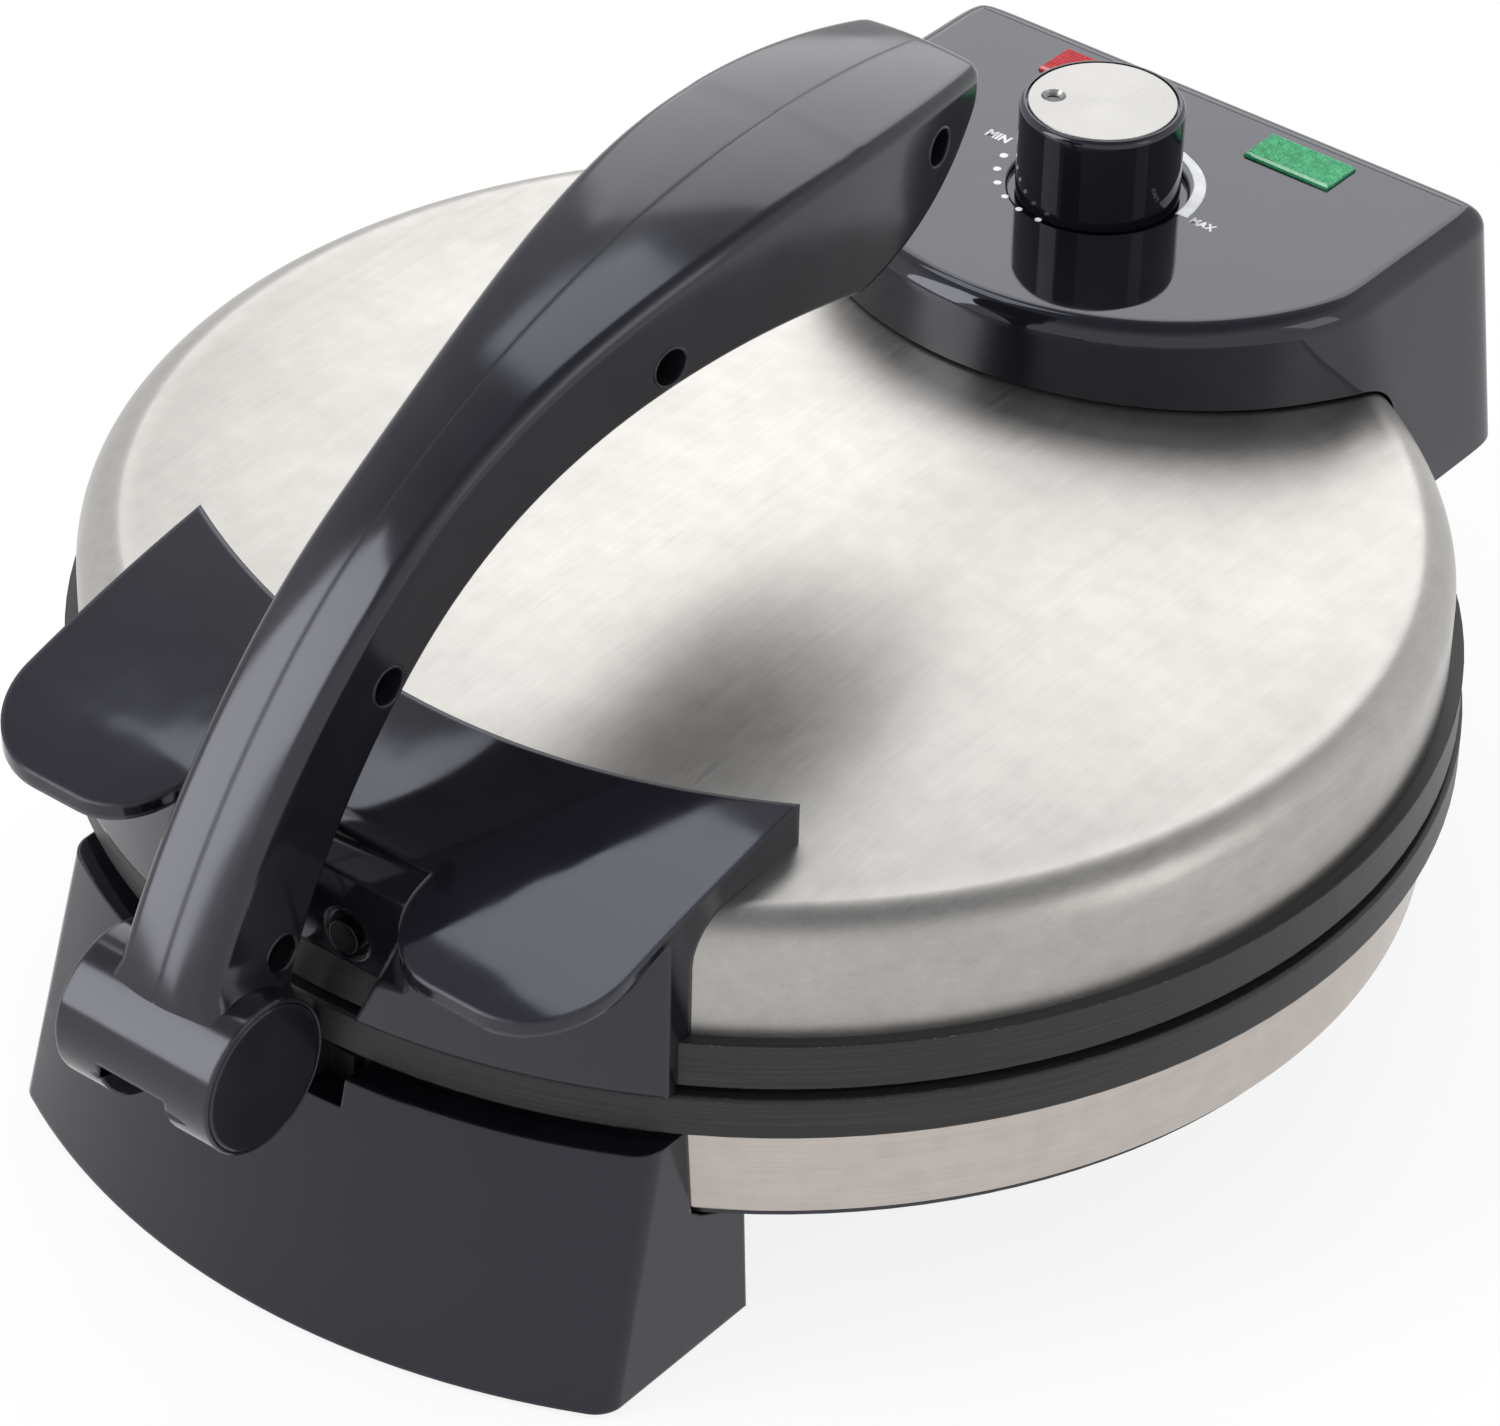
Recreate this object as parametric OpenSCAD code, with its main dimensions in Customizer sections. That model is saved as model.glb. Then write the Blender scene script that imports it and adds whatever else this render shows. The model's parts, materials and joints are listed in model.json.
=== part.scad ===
// Electric roti maker with a hinged lid and a pressing lever.
// Millimetres, +Z up, +Y towards the hinge, -Y towards the user.
// The origin is on the counter, under the middle of the closed machine.

/* [Cooking plates] */
// Outer diameter of the lower plate's rim
lower_rim_d = 290; // [270:1:320]
// How far the upper plate's rim lies inside the lower plate's rim
upper_rim_in = 0.8; // [0:0.1:3]
// Width of the border round the flat cooking surface
border_w = 18; // [14:0.5:30]
// Height of the lower plate's rim
lower_rim_h = 9; // [7:0.5:14]
// Height of the upper plate's rim
upper_rim_h = 10.7; // [8:0.5:16]
// Slit left between the closed plates
rim_gap = 2; // [1:0.5:4]
// Thickness of a plate under the food
plate_t = 5; // [4:0.5:6]
// Width of the thick edge of a plate
rim_w = 10; // [8:0.5:16]
// Distance of the heating element's loop inside the lower plate's rim
element_in = 50; // [40:1:70]
// Diameter of the heating element's tube
element_tube_d = 8; // [6:0.5:9]

/* [Base body] */
// Height of the lower plate's rim above the counter
plate_z = 59.3; // [56:0.5:70]
// How far the steel skirt lies inside the lower plate's rim
skirt_in = 5.4; // [3:0.2:9]
// Height of the steel skirt
skirt_h = 23.4; // [20:0.5:26]
// Thickness of the steel sheets
sheet_t = 0.8; // [0.6:0.1:1.6]
// Depth of the pan that closes the base from below
pan_depth = 8; // [6:0.5:10]
// Wall of the pan
pan_t = 2.5; // [2:0.1:3]

/* [Lid] */
// How far the steel lid lies inside the upper plate's rim
lid_in = 3; // [1.6:0.2:5]
// Height of the lid's side up to its rounded shoulder
lid_side_h = 15.9; // [12:0.5:24]
// Radius of the rounded shoulder
shoulder_r = 10; // [6:0.5:14]
// Rise of the lid from its shoulder to its middle
dome_rise = 6.5; // [3:0.5:10]

/* [Feet] */
// Half width of a foot at its top
foot_half_top = 75.7; // [60:0.5:85]
// Half width of a foot at the counter
foot_half_bottom = 78.3; // [62:0.5:90]
// Distance of a foot's top outer edge from the steel skirt
foot_reach = 9.7; // [9:0.1:12]
// Outward splay of a foot's outer face down to the counter
foot_splay = 14.6; // [10:0.2:20]
// Distance of a foot's inner wall inside the lower plate's rim
foot_deep = 44; // [36:1:54]
// Gap between a foot's top and the lower plate's rim
foot_top_gap = 3.3; // [2:0.1:6]
// Wall of the moulded feet
foot_t = 3; // [2:0.1:4]
// Number of ribs in a foot
foot_ribs = 5; // [3:2:7]
// Diameter of a rubber foot
pad_d = 14; // [10:1:16]
// Height of a rubber foot
pad_h = 4; // [3:0.5:6]
// Part of a rubber foot that stands out of its recess
pad_proud = 1.5; // [1:0.5:2]

/* [Lever] */
// Height of the lever's pivot above the lower rim's lower edge
pivot_rise = 16.3; // [15:0.1:18]
// Distance of the lever's pivot in front of the lower rim
pivot_reach = 30.4; // [29.5:0.1:34]
// Diameter of the lever's barrel
barrel_d = 32.6; // [30:0.1:34]
// Length of the lever's barrel
barrel_w = 39.2; // [36:0.2:46]
// Radius of the lever's outer edge below the grip
lever_outer_r = 191.4; // [180:0.2:210]
// Radius of the top of the hand grip
lever_grip_r = 238; // [210:1:280]
// Radius of the lever's inner edge
lever_inner_r = 132.6; // [124:0.1:146]
// Radius of the belly under the hand grip
belly_r = 71.5; // [66:0.5:76]
// Half width of the lever near its barrel
lever_half_low = 11.6; // [10:0.1:12.4]
// Half width of the lever at the hand grip
lever_half_grip = 22; // [16:0.2:24]
// Length over which the grip would narrow to a point
lever_end_l = 72; // [64:1:90]
// Length of the grip from its widest place to its square end
lever_tip_l = 54; // [44:1:58]
// Wall of the lever's shells
lever_t = 2.6; // [2:0.1:3]
// Diameter of the lever's pin
pin_d = 8; // [6:0.5:9]
// Outer diameter of the lever's bushes
bush_d = 14; // [12:0.5:15]
// Width of the slot in the barrel
slot_w = 17; // [14:0.5:18]
// Diameter of the sunk screw holes in the lever
sunk_d = 8; // [7:0.5:9]

/* [Lid bracket] */
// Half width of the winged bracket
wing_half = 76.8; // [70:0.2:80]
// Height of the wings' rear corners above the lid's shoulder
wing_rise = 10.5; // [9:0.1:13]
// Distance of the wings' rear corners inside the lower plate's rim
wing_rear_in = 58.1; // [53:0.1:61]
// Fall of the wings from their rear corners to their front edge
wing_fall = 17.6; // [16:0.1:19]
// Radius of the wings' gentle arch from front to rear
wing_arch_r = 400; // [300:10:460]
// Thickness of the wings
wing_t = 3.2; // [2.5:0.1:4]
// Distance of the wings' front edge in front of the lower rim
wing_reach = 12.3; // [8:0.1:14]
// Half width of the gap between the wings
wing_gap_half = 28; // [24:0.5:32]
// Overhang of the bracket's skirt below the upper plate's rim
bracket_drop = 0.7; // [-2:0.1:1.2]
// Thickness of the bracket's walls
bracket_side_t = 2.5; // [2:0.1:3]

/* [Control housing] */
// Half width of the housing's top
housing_half = 66.2; // [60:0.2:70]
// Outward lean of the housing's sides over their whole height
housing_flare = 7.5; // [0:0.5:9]
// Distance of the housing's rear edge behind the lower rim
housing_reach = 13.4; // [12:0.1:16]
// Outward lean of the housing's back over its whole height
housing_back_flare = 3.6; // [0:0.2:4]
// Height of the housing's top above the middle of the lid
housing_rise = 16.9; // [15:0.1:24]
// Height of the housing's lower edge above the upper rim's lower edge
housing_low_rise = 3.7; // [3.4:0.1:4.4]
// Radius of the housing's round front
housing_front_r = 72.4; // [68:0.2:76]
// Distance of the round front's centre before the housing's rear edge
housing_front_in = 27; // [22:0.2:32]
// Wall of the housing
housing_t = 2.6; // [2:0.1:3]
// Width of an indicator lens
lens_w = 22; // [16:0.5:24]
// Depth of an indicator lens
lens_l = 11; // [8:0.5:12]
// Distance of a lens's centre from the middle
lens_x = 27.5; // [25:0.5:32]
// Distance of the lenses' centres before the housing's rear edge
lens_in = 10.9; // [10:0.1:13]
// Diameter of the temperature knob
knob_d = 36.6; // [32:0.2:38]
// Height of the knob above the housing's top
knob_h = 21; // [16:0.5:24]
// Distance of the knob's axis before the housing's rear edge
knob_in = 46.7; // [44:0.1:50]
// Diameter of the knob's steel disc
knob_disc_d = 33; // [26:0.2:33.4]
// Diameter of the thermostat's shaft
shaft_d = 6; // [5:0.2:7]

/* [Lid hinge] */
// Distance of the hinge axis behind the lower rim
hinge_reach = 7; // [6.8:0.1:7.6]
// Height of the hinge axis above the lower rim's lower edge
hinge_rise = 6.7; // [6.4:0.1:6.9]
// Diameter of the hinge pins
hinge_pin_d = 5; // [4:0.2:6]
// Outer diameter of the hinge's knuckles
knuckle_d = 13; // [11:0.2:13]
// Length of one knuckle
knuckle_w = 9; // [7:0.5:12]
// Distance of the inner knuckles' inner ends from the middle
knuckle_x = 31; // [28:0.5:36]

/* [Fits] */
// Radial clearance of a pin that turns in its bore
turn_fit = 0.05; // [0.02:0.01:0.1]
// Radial clearance of a piece pushed into its seat
seat_fit = 0.02; // [0.01:0.01:0.04]
// Gap between pieces screwed on each other over a curved face
touch_gap = 0.1; // [0.05:0.05:0.2]
// Gap between covers that lie round each other
cover_gap = 0.4; // [0.3:0.1:0.8]

/* [Hidden] */

$fn = 96;
fine = 360;
far = 400;
eps = 0.01;

black = "#17171c";
steel = "#cfcdc8";
dark_metal = "#2b2b2d";

// Levels above the counter, from the bottom up
skirt_z = plate_z - skirt_h;
pan_z = skirt_z - pan_depth;
lower_top_z = plate_z + lower_rim_h;
upper_z = lower_top_z + rim_gap;
lid_z = upper_z + upper_rim_h;
shoulder_z = lid_z + lid_side_h;
lid_edge_z = shoulder_z + shoulder_r;
dome_z = lid_edge_z + dome_rise;
foot_top_z = plate_z - foot_top_gap;
pivot_z = plate_z + pivot_rise;
hinge_z = plate_z + hinge_rise;
bracket_low_z = upper_z - bracket_drop;
wing_rear_z = lid_edge_z + wing_rise;
housing_low_z = upper_z + housing_low_rise;
housing_top_z = dome_z + housing_rise;

// Radii
lower_r = lower_rim_d / 2;
upper_r = lower_r - upper_rim_in;
skirt_r = lower_r - skirt_in;
lid_r = upper_r - lid_in;
cook_r = lower_r - border_w;
element_r = lower_r - element_in;
flat_r = lid_r - shoulder_r;
dome_ball_r = (flat_r * flat_r + dome_rise * dome_rise) / (2 * dome_rise);
barrel_r = barrel_d / 2;
pin_r = pin_d / 2;
bush_r = bush_d / 2;
hinge_pin_r = hinge_pin_d / 2;
knuckle_r = knuckle_d / 2;
knob_r = knob_d / 2;
shaft_r = shaft_d / 2;
foot_r_top = skirt_r + foot_reach;
foot_r_bottom = foot_r_top + foot_splay;

// Distances from the plates' centre, forwards or backwards
pivot_y = lower_r + pivot_reach;
hinge_y = lower_r + hinge_reach;
wing_front_y = lower_r + wing_reach;
wing_rear_y = lower_r - wing_rear_in;
foot_inner_y = lower_r - foot_deep;
housing_rear_y = lower_r + housing_reach;
housing_front_y = housing_rear_y - housing_front_in;
lens_y = housing_rear_y - lens_in;
knob_y = housing_rear_y - knob_in;

// The machine reaches from the barrel's front to the housing's back.
reach_front = pivot_y + barrel_r;
reach_rear = max(housing_rear_y + housing_back_flare,
    foot_r_bottom - foot_splay * pad_proud / foot_top_z);
centre_y = (reach_front - reach_rear) / 2;

// A bore of this length passes right through any wall.
bore_l = 60;

// Screws: head, shank and the boss round them
screw_head_r = 3.6;
screw_head_h = 2.4;
screw_r = 1.9;
screw_l = 10;
screw_boss_r = 6;

// Pan under the base, with its air slots, and the skirt's turned edge
pan_inset = 2.5;
flange_w = 8;
slot_in_r = 60;
slot_l = 26;
air_slot_w = 4;

// Groove round the cooking surface
groove_w = 6.5;
groove_t = 1.5;
rim_bevel = 0.6;

// Feet
pad_in = 24;
pad_side_in = 4;
foot_screw_in = 11;
foot_screw_x = 45;
rib_t = 2;
pad_places = [for (s = [-1, 1])
    [s * (foot_half_bottom - pad_d / 2 - pad_side_in), -foot_inner_y - pad_in]];
foot_screw_places = [for (s = [-1, 1]) [s * foot_screw_x, -foot_inner_y - foot_screw_in]];

// Notch and pocket of the front foot, and the bolts of the lever's bracket
notch_half = 15.5;
notch_deep = 6;
notch_z = foot_top_z - notch_deep;
bracket_w = 24;
bracket_t = 2.5;
bolt_x = 8;
bolt_rise = 7;
bolt_z = skirt_z + bolt_rise;
bolt_r = 2;
bolt_head_r = 3.4;
bolt_head_h = 2.2;
nut_h = 2.6;
nut_room = 0.6;
bolt_l = bracket_t + touch_gap + sheet_t + nut_room + nut_h;
web_y = -skirt_r - touch_gap - bracket_t;
web_under = 6;
web_low_z = bolt_z - web_under;
pocket_half = bracket_w / 2 + cover_gap;
pocket_front = web_y - bolt_head_h - cover_gap;
pocket_z = web_low_z - cover_gap;

// Ears of the lever's bracket
ear_half_in = 3.5;
eye_t = 4.5;
eye_r = pin_r + eye_t;
neck_r = 5;
neck_l = 20;
neck_deg = -25;
ear_back_run = 14.4;
ear_low_run = 17.4;
ear_top_drop = 3.6;
ear_low_rise = 1.7;
ear_rim_gap = 7;
ear_web_drop = 1.3;
notch_play = 0.6;

// The gland lies level in the rear foot's outer wall.
gland_r = 7;
gland_hole_r = 3.6;
gland_boss_r = 11;
gland_boss_l = 9;
gland_out = 2;
rib_pitch = 2 * foot_half_bottom / (foot_ribs + 1);
gland_x = rib_pitch / 2;
gland_z = 26;
gland_sink = 3.4;
gland_y = foot_r_bottom - gland_sink;

// Ears of the lid's hinge
hinge_block_half = 64;
ear_root_gap = 2.3;
ear_root_z = plate_z - ear_root_gap;
ear_back = 3;
ledge_t = 7;
ledge_deep = 30;
gusset_h = 24;
ear_gap = 0.5;
ear_x = knuckle_x + knuckle_w + ear_gap;
pin_head_t = 1.5;

// Inside the plates
terminal_l = 12;
element_gap = 0.2;
loop_open_deg = 10;
pin_deg = 13;
pin_out_r = 2.5;
shield_room = 4;
shield_gap = 1;
shield_hole_r = 5;
window_gap = 3;
fuse_r = 3;
fuse_l = 22;
fuse_y = 40;
fuse_lug_x = 7;
fuse_lug_w = 3;
fuse_lug_out = 2;
block_y = 62;
block_size = [44, 16, 10];
block_pitch = 16;
block_wire_r = 2;
block_screw_r = 2.5;

// Winged bracket: lobes, curved rear edge, walls and screws
lobe_r = 20;
lobe_in_r = 17;
lobe_y = wing_front_y - lobe_r;
lobe_in_x = wing_gap_half + lobe_in_r;
lobe_in_y = wing_front_y - lobe_in_r;
wing_back_deep = 18.1;
wing_back_mid = wing_rear_y + wing_back_deep;
wing_back_r = (wing_half * wing_half + wing_back_deep * wing_back_deep) / (2 * wing_back_deep);
wing_back_y = wing_back_r - wing_back_mid;
bracket_r = upper_r + cover_gap + bracket_side_t;
recess_y = lid_r + 2 * cover_gap;
bracket_wall_y = recess_y + bracket_side_t;
recess_half_low = 16;
recess_top_z = wing_rear_z - wing_fall - wing_t;
wing_run = wing_front_y - wing_rear_y;
wing_chord = sqrt(wing_run * wing_run + wing_fall * wing_fall);
wing_arch_h = sqrt(wing_arch_r * wing_arch_r - wing_chord * wing_chord / 4);
wing_arch_c = [-(wing_rear_y + wing_front_y) / 2 + wing_arch_h * wing_fall / wing_chord,
    wing_rear_z - wing_fall / 2 - wing_arch_h * wing_run / wing_chord];
bracket_depth = 60;
bracket_screw_x = 13;
bracket_screw_rise = 7;
bracket_screw_z = lid_z + bracket_screw_rise;
bracket_screw_l = 7;
bracket_hole_r = 5.6;
sleeve_floor_t = 1.2;

// Control housing
edge_cut = 2;
housing_top_t = 3;
knob_well_gap = 1.7;
knob_well_r = knob_r + knob_well_gap;
knob_well_deep = 1.6;
well_wall = 2.5;
shaft_collar_r = 4.5;
underside_t = 2.5;
underside_gap = 0.2;
housing_boss_r = 5;
housing_screw_side_in = 9.2;
housing_screw_in = 8.4;
housing_screw_l = 14;
housing_screw_places = [for (s = [-1, 1])
    [s * (housing_half - housing_screw_side_in), housing_rear_y - housing_screw_in]];
thermostat_top_z = housing_top_z - housing_top_t - knob_well_deep;
thermostat_r = 13;
thermostat_base = [34, 18, 2];
thermostat_sink = 4;
thermostat_low_z = dome_z - thermostat_sink;
probe_r = 6;
probe_gap = 2;
window_room = 5;
cover_window_r = thermostat_r + window_room;
shaft_deep = 8;
shaft_end_gap = 0.3;
lens_flange_t = 1.4;
lens_flange_out = 2;
lens_flange_side = 1.5;
lens_gap = 0.2;
lens_proud = 1.4;
lamp_h = 7;
lamp_in_w = 8;
lamp_in_l = 3;

// Knob
knob_float = 0.6;
knob_low_z = housing_top_z - knob_well_deep + knob_float;
knob_top_z = housing_top_z + knob_h;
knob_bevel = 0.7;
knob_shoulder_h = 2.4;
knob_roof_t = 6;
disc_t = 1;
disc_gap = 0.1;
dimple_r = 2.4;
dimple_deep = 0.5;
dimple_at = 10.5;
dimple_deg = 208.5;

// Lever: ends of its edges' arcs and its other places, as runs back from the pivot and
// rises above it
outer_front = 14.9;
inner_back = 14.2;
outer_run = 57.4;
outer_rise = 93.1;
top_run = 177.8;
top_rise = 124.6;
inner_run = 173.4;
inner_rise = 90.9;
belly_run = 167.9;
belly_rise = 89.8;
tip_run = 218.4;
tip_slope = 0.6;
grip_run = 169.4;
slim_run = 55.4;

// Centre of the arc of radius r that runs from a to b and bulges forwards and up
function arc_centre(a, b, r) = let (d = b - a, l = norm(d))
    (a + b) / 2 + sqrt(r * r - l * l / 4) * [d[1], -d[0]] / l;
function from_pivot(run, rise) = [run - pivot_y, pivot_z + rise];
// Height of a circle's upper or lower side at depth y
function above_circle(c, r, y) = c[1] + sqrt(r * r - pow(y - c[0], 2));
function below_circle(c, r, y) = c[1] - sqrt(r * r - pow(y - c[0], 2));

outer_c = arc_centre(from_pivot(-outer_front, 0), from_pivot(outer_run, outer_rise), lever_outer_r);
top_c = from_pivot(top_run, top_rise - lever_grip_r);
inner_c = arc_centre(from_pivot(inner_back, 0), from_pivot(inner_run, inner_rise), lever_inner_r);
belly_c = from_pivot(belly_run, belly_rise + belly_r);
belly_y = inner_run - pivot_y;
grip_y = grip_run - pivot_y;
slim_y = slim_run - pivot_y;
tip_end_y = grip_y + lever_tip_l;
tip_low = [for (y = [tip_run - pivot_y, tip_end_y])
    [y, below_circle(belly_c, belly_r, tip_run - pivot_y) + tip_slope * (y + pivot_y - tip_run)]];
lever_ys = concat([-pivot_y - barrel_r], [for (i = [0:10]) slim_y + (grip_y - slim_y) * i / 10],
    [for (i = [1:8]) grip_y + lever_tip_l * i / 8]);

// Screws of the lever: one in the middle of the grip, the others along the inner edge
grip_screw_run = 202.4;
grip_screw_y = grip_screw_run - pivot_y;
edge_screw_in = 6;
edge_screw_deg = [98.6, 133.8, 156.6];
lever_screw_places = concat(
    [[grip_screw_y, (above_circle(top_c, lever_grip_r, grip_screw_y)
        + below_circle(belly_c, belly_r, grip_screw_y)) / 2]],
    [for (a = edge_screw_deg) inner_c + (lever_inner_r + edge_screw_in) * [cos(a), sin(a)]]);
lever_boss_t = 1.5;
lever_boss_r = sunk_d / 2 + lever_boss_t;
lever_foot_t = 6;
lever_foot_r = barrel_r + lever_foot_t;
lever_screw_r = 1.5;
lever_screw_in = 5.5;
lever_head_r = 2.8;
lever_head_h = 2;
head_x = 5;
thread_room = 0.5;
cap_t = 2;
cap_wall = 1;
cap_r = barrel_r - cap_wall;
pin_play = 0.6;
pin_half = barrel_w / 2 - cap_t - pin_play;
lever_swing = 130;
swing_room = 0.5;
neck_room = neck_r + swing_room;
eye_room = 1;
bush_play = 0.2;

// A round solid from an outline of radius and height pairs
module turned(points) {
    rotate_extrude() polygon(points);
}

// A flat outline drawn from the side, given its depth and height, as wide as from x0 to x1
module side_slab(x0, x1) {
    translate([x0, 0, 0]) rotate([90, 0, 90]) linear_extrude(x1 - x0) children();
}

module centre_box(x, y, z) {
    translate([0, 0, z / 2]) cube([x, y, z], center = true);
}

module axis_x(x, r, l) {
    translate([x, 0, 0]) rotate([0, 90, 0]) cylinder(r = r, h = l);
}

module mirror_copy() {
    children();
    mirror([1, 0, 0]) children();
}

// Height of the lid's surface at a radius inside its shoulder
function dome_at(r) = dome_z - dome_ball_r + sqrt(dome_ball_r * dome_ball_r - r * r);

// Points on the lid's outer surface, taken in by inset, from the side to the middle
function lid_outline(inset) = concat(
    [[lid_r - inset, shoulder_z]],
    [for (a = [15:15:90]) [flat_r + (shoulder_r - inset) * cos(a),
        shoulder_z + (shoulder_r - inset) * sin(a)]],
    [for (r = [flat_r * 0.75, flat_r * 0.5, flat_r * 0.25, 0]) [r, dome_at(r) - inset]]);

// The space that the closed lid and its plate take, widened by a gap
module lid_space(gap) {
    turned(concat([[0, lower_top_z + rim_gap - gap], [upper_r + gap, lower_top_z + rim_gap - gap],
        [upper_r + gap, lid_z + gap], [lid_r + gap, lid_z + gap]], lid_outline(-gap)));
}

// The space that the base takes above its feet, widened by a gap
module base_space(gap) {
    turned([[0, pan_z], [skirt_r - pan_inset - pan_depth + gap, pan_z],
        [skirt_r - pan_inset + gap, skirt_z - pan_t - gap], [skirt_r + gap, skirt_z - gap],
        [skirt_r + gap, plate_z - gap], [lower_r + gap, plate_z - gap], [lower_r + gap, far],
        [0, far]]);
}

/* Base */

module front_foot() color(black) difference() {
    foot();
    // Notch in the top edge and pocket behind the wall for the lever's bracket
    translate([-notch_half, -far, notch_z]) cube([2 * notch_half, far, far]);
    translate([-pocket_half, pocket_front, pocket_z])
        cube([2 * pocket_half, far, far]);
}

module bracket_bolt_bore(x) {
    translate([x, -skirt_r, bolt_z]) rotate([90, 0, 0])
        cylinder(r = bolt_r + turn_fit, h = bore_l, center = true);
}

module foot_section(inset) {
    r0 = foot_r_bottom - inset;
    r1 = foot_r_top - inset;
    r2 = foot_inner_y / 2;
    rotate_extrude() polygon([[r2, 0], [r0, 0], [r1, foot_top_z - inset], [r2, foot_top_z - inset]]);
}

module foot_side(inset) {
    a = foot_half_bottom - inset;
    b = foot_half_top - inset;
    rotate([90, 0, 0]) linear_extrude(far)
        polygon([[-a, -1], [a, -1], [b, foot_top_z], [-b, foot_top_z]]);
}

module foot_block(inset) {
    intersection() {
        foot_section(inset);
        foot_side(inset);
        translate([-far, -far, -1]) cube([2 * far, far - foot_inner_y - inset, far]);
    }
}

// One moulded foot, open below, drawn at the front
module foot() {
    difference() {
        intersection() {
            foot_block(0);
            translate([0, 0, pad_proud]) centre_box(far, far, far);
        }
        base_space(cover_gap);
        difference() {
            foot_block(foot_t);
            translate([0, 0, pan_z - foot_t]) centre_box(2 * far, 2 * far, far);
            foot_ribs_solid();
            for (p = pad_places) translate([p[0], p[1], 0])
                cylinder(r = pad_d / 2 + foot_t, h = far);
            for (p = foot_screw_places) translate([p[0], p[1], 0])
                cylinder(r = screw_boss_r, h = far);
        }
        for (p = pad_places) translate([p[0], p[1], 0])
            cylinder(r = pad_d / 2 + seat_fit, h = pad_h);
        for (p = foot_screw_places) translate([p[0], p[1], 0]) {
            cylinder(r = screw_head_r + seat_fit, h = pan_z - foot_t);
            cylinder(r = screw_r + seat_fit, h = far);
        }
    }
}

module foot_ribs_solid() {
    for (i = [1:foot_ribs]) translate([-foot_half_bottom + i * rib_pitch - rib_t / 2, -far, 0])
        cube([rib_t, far, far]);
}

module rear_foot() color(black) difference() {
    union() {
        mirror([0, 1, 0]) foot();
        gland_place() translate([0, 0, -gland_boss_l]) cylinder(r = gland_boss_r, h = gland_boss_l);
        hinge_tower();
    }
    gland_place() cylinder(r = gland_r + seat_fit, h = bore_l, center = true);
    hinge_bores(hinge_pin_r + seat_fit);
}

// The gland's axis lies level, with its collar on the boss.
module gland_place() {
    translate([gland_x, gland_y, gland_z]) rotate([-90, 0, 0]) children();
}

// Ears that hold the hinge pins, on a ledge behind the lower plate
module hinge_tower() {
    difference() {
        union() {
            side_slab(-hinge_block_half, hinge_block_half)
                polygon([[hinge_y - ledge_deep, ear_root_z - ledge_t],
                    [hinge_y + ear_back, ear_root_z - ledge_t], [hinge_y + ear_back, ear_root_z],
                    [hinge_y - ledge_deep, ear_root_z]]);
            mirror_copy() side_slab(ear_x, ear_x + knuckle_w)
                polygon([[hinge_y - knuckle_r, ear_root_z - gusset_h],
                    [hinge_y + ear_back, ear_root_z - ledge_t], [hinge_y + ear_back, ear_root_z],
                    [hinge_y + knuckle_r * 0.7, hinge_z], [hinge_y, hinge_z + 1],
                    [hinge_y - knuckle_r, hinge_z]]);
            mirror_copy() translate([0, hinge_y, hinge_z]) axis_x(ear_x, knuckle_r, knuckle_w);
        }
        base_space(cover_gap);
    }
}

module hinge_bores(r) {
    translate([0, hinge_y, hinge_z]) mirror_copy()
        axis_x(knuckle_x - ear_gap, r, 2 * knuckle_w + 3 * ear_gap);
}

module base_skirt() color(steel) difference() {
    turned([[skirt_r - sheet_t, skirt_z + sheet_t], [skirt_r - flange_w, skirt_z + sheet_t],
        [skirt_r - flange_w, skirt_z], [skirt_r, skirt_z], [skirt_r, plate_z],
        [skirt_r - sheet_t, plate_z]]);
    for (x = [-bolt_x, bolt_x]) bracket_bolt_bore(x);
}

module bottom_pan() color(dark_metal) difference() {
    r_in = skirt_r - pan_inset - pan_depth;
    turned([[0, pan_z], [r_in, pan_z], [skirt_r - pan_inset, skirt_z - pan_t],
        [skirt_r - pan_inset, skirt_z], [skirt_r - pan_inset - pan_t, skirt_z],
        [r_in - pan_t / 2, pan_z + pan_t], [0, pan_z + pan_t]]);
    for (s = [-1, 1]) for (p = foot_screw_places) translate([p[0], s * p[1], 0])
        cylinder(r = screw_r + seat_fit, h = far);
    // Air slots
    for (a = [30:30:330]) rotate([0, 0, a]) translate([slot_in_r, -air_slot_w / 2, 0])
        cube([slot_l, air_slot_w, far]);
}

module plate_solid(z0, h, r, face_up) {
    zf = face_up ? z0 + h : z0;
    s = face_up ? -1 : 1;
    turned([[0, zf], [cook_r, zf], [cook_r + groove_t, zf + s * groove_t],
        [cook_r + groove_w - groove_t, zf + s * groove_t], [cook_r + groove_w, zf],
        [r - rim_bevel, zf], [r, zf + s * rim_bevel], [r, zf + s * h], [r - rim_w, zf + s * h],
        [r - rim_w, zf + s * plate_t], [0, zf + s * plate_t]]);
}

module lower_plate() color(dark_metal)
    plate_solid(plate_z, lower_rim_h, lower_r, true);

// A tube bent to an open loop, with a thin straight pin near each of its ends
module element_loop(z, down) {
    translate([0, 0, z]) rotate([0, 0, 90 + loop_open_deg])
        rotate_extrude(angle = 360 - 2 * loop_open_deg)
            translate([element_r, 0]) circle(r = element_tube_d / 2);
    for (s = [-1, 1]) rotate([0, 0, 90 + s * pin_deg]) translate([element_r, 0, z])
        mirror([0, 0, down ? 1 : 0]) cylinder(r = pin_out_r, h = terminal_l);
}

module lower_element() color(dark_metal)
    element_loop(lower_top_z - plate_t - element_tube_d / 2 - element_gap, true);

module upper_element() color(dark_metal)
    element_loop(upper_z + plate_t + element_tube_d / 2 + element_gap, false);

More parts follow.
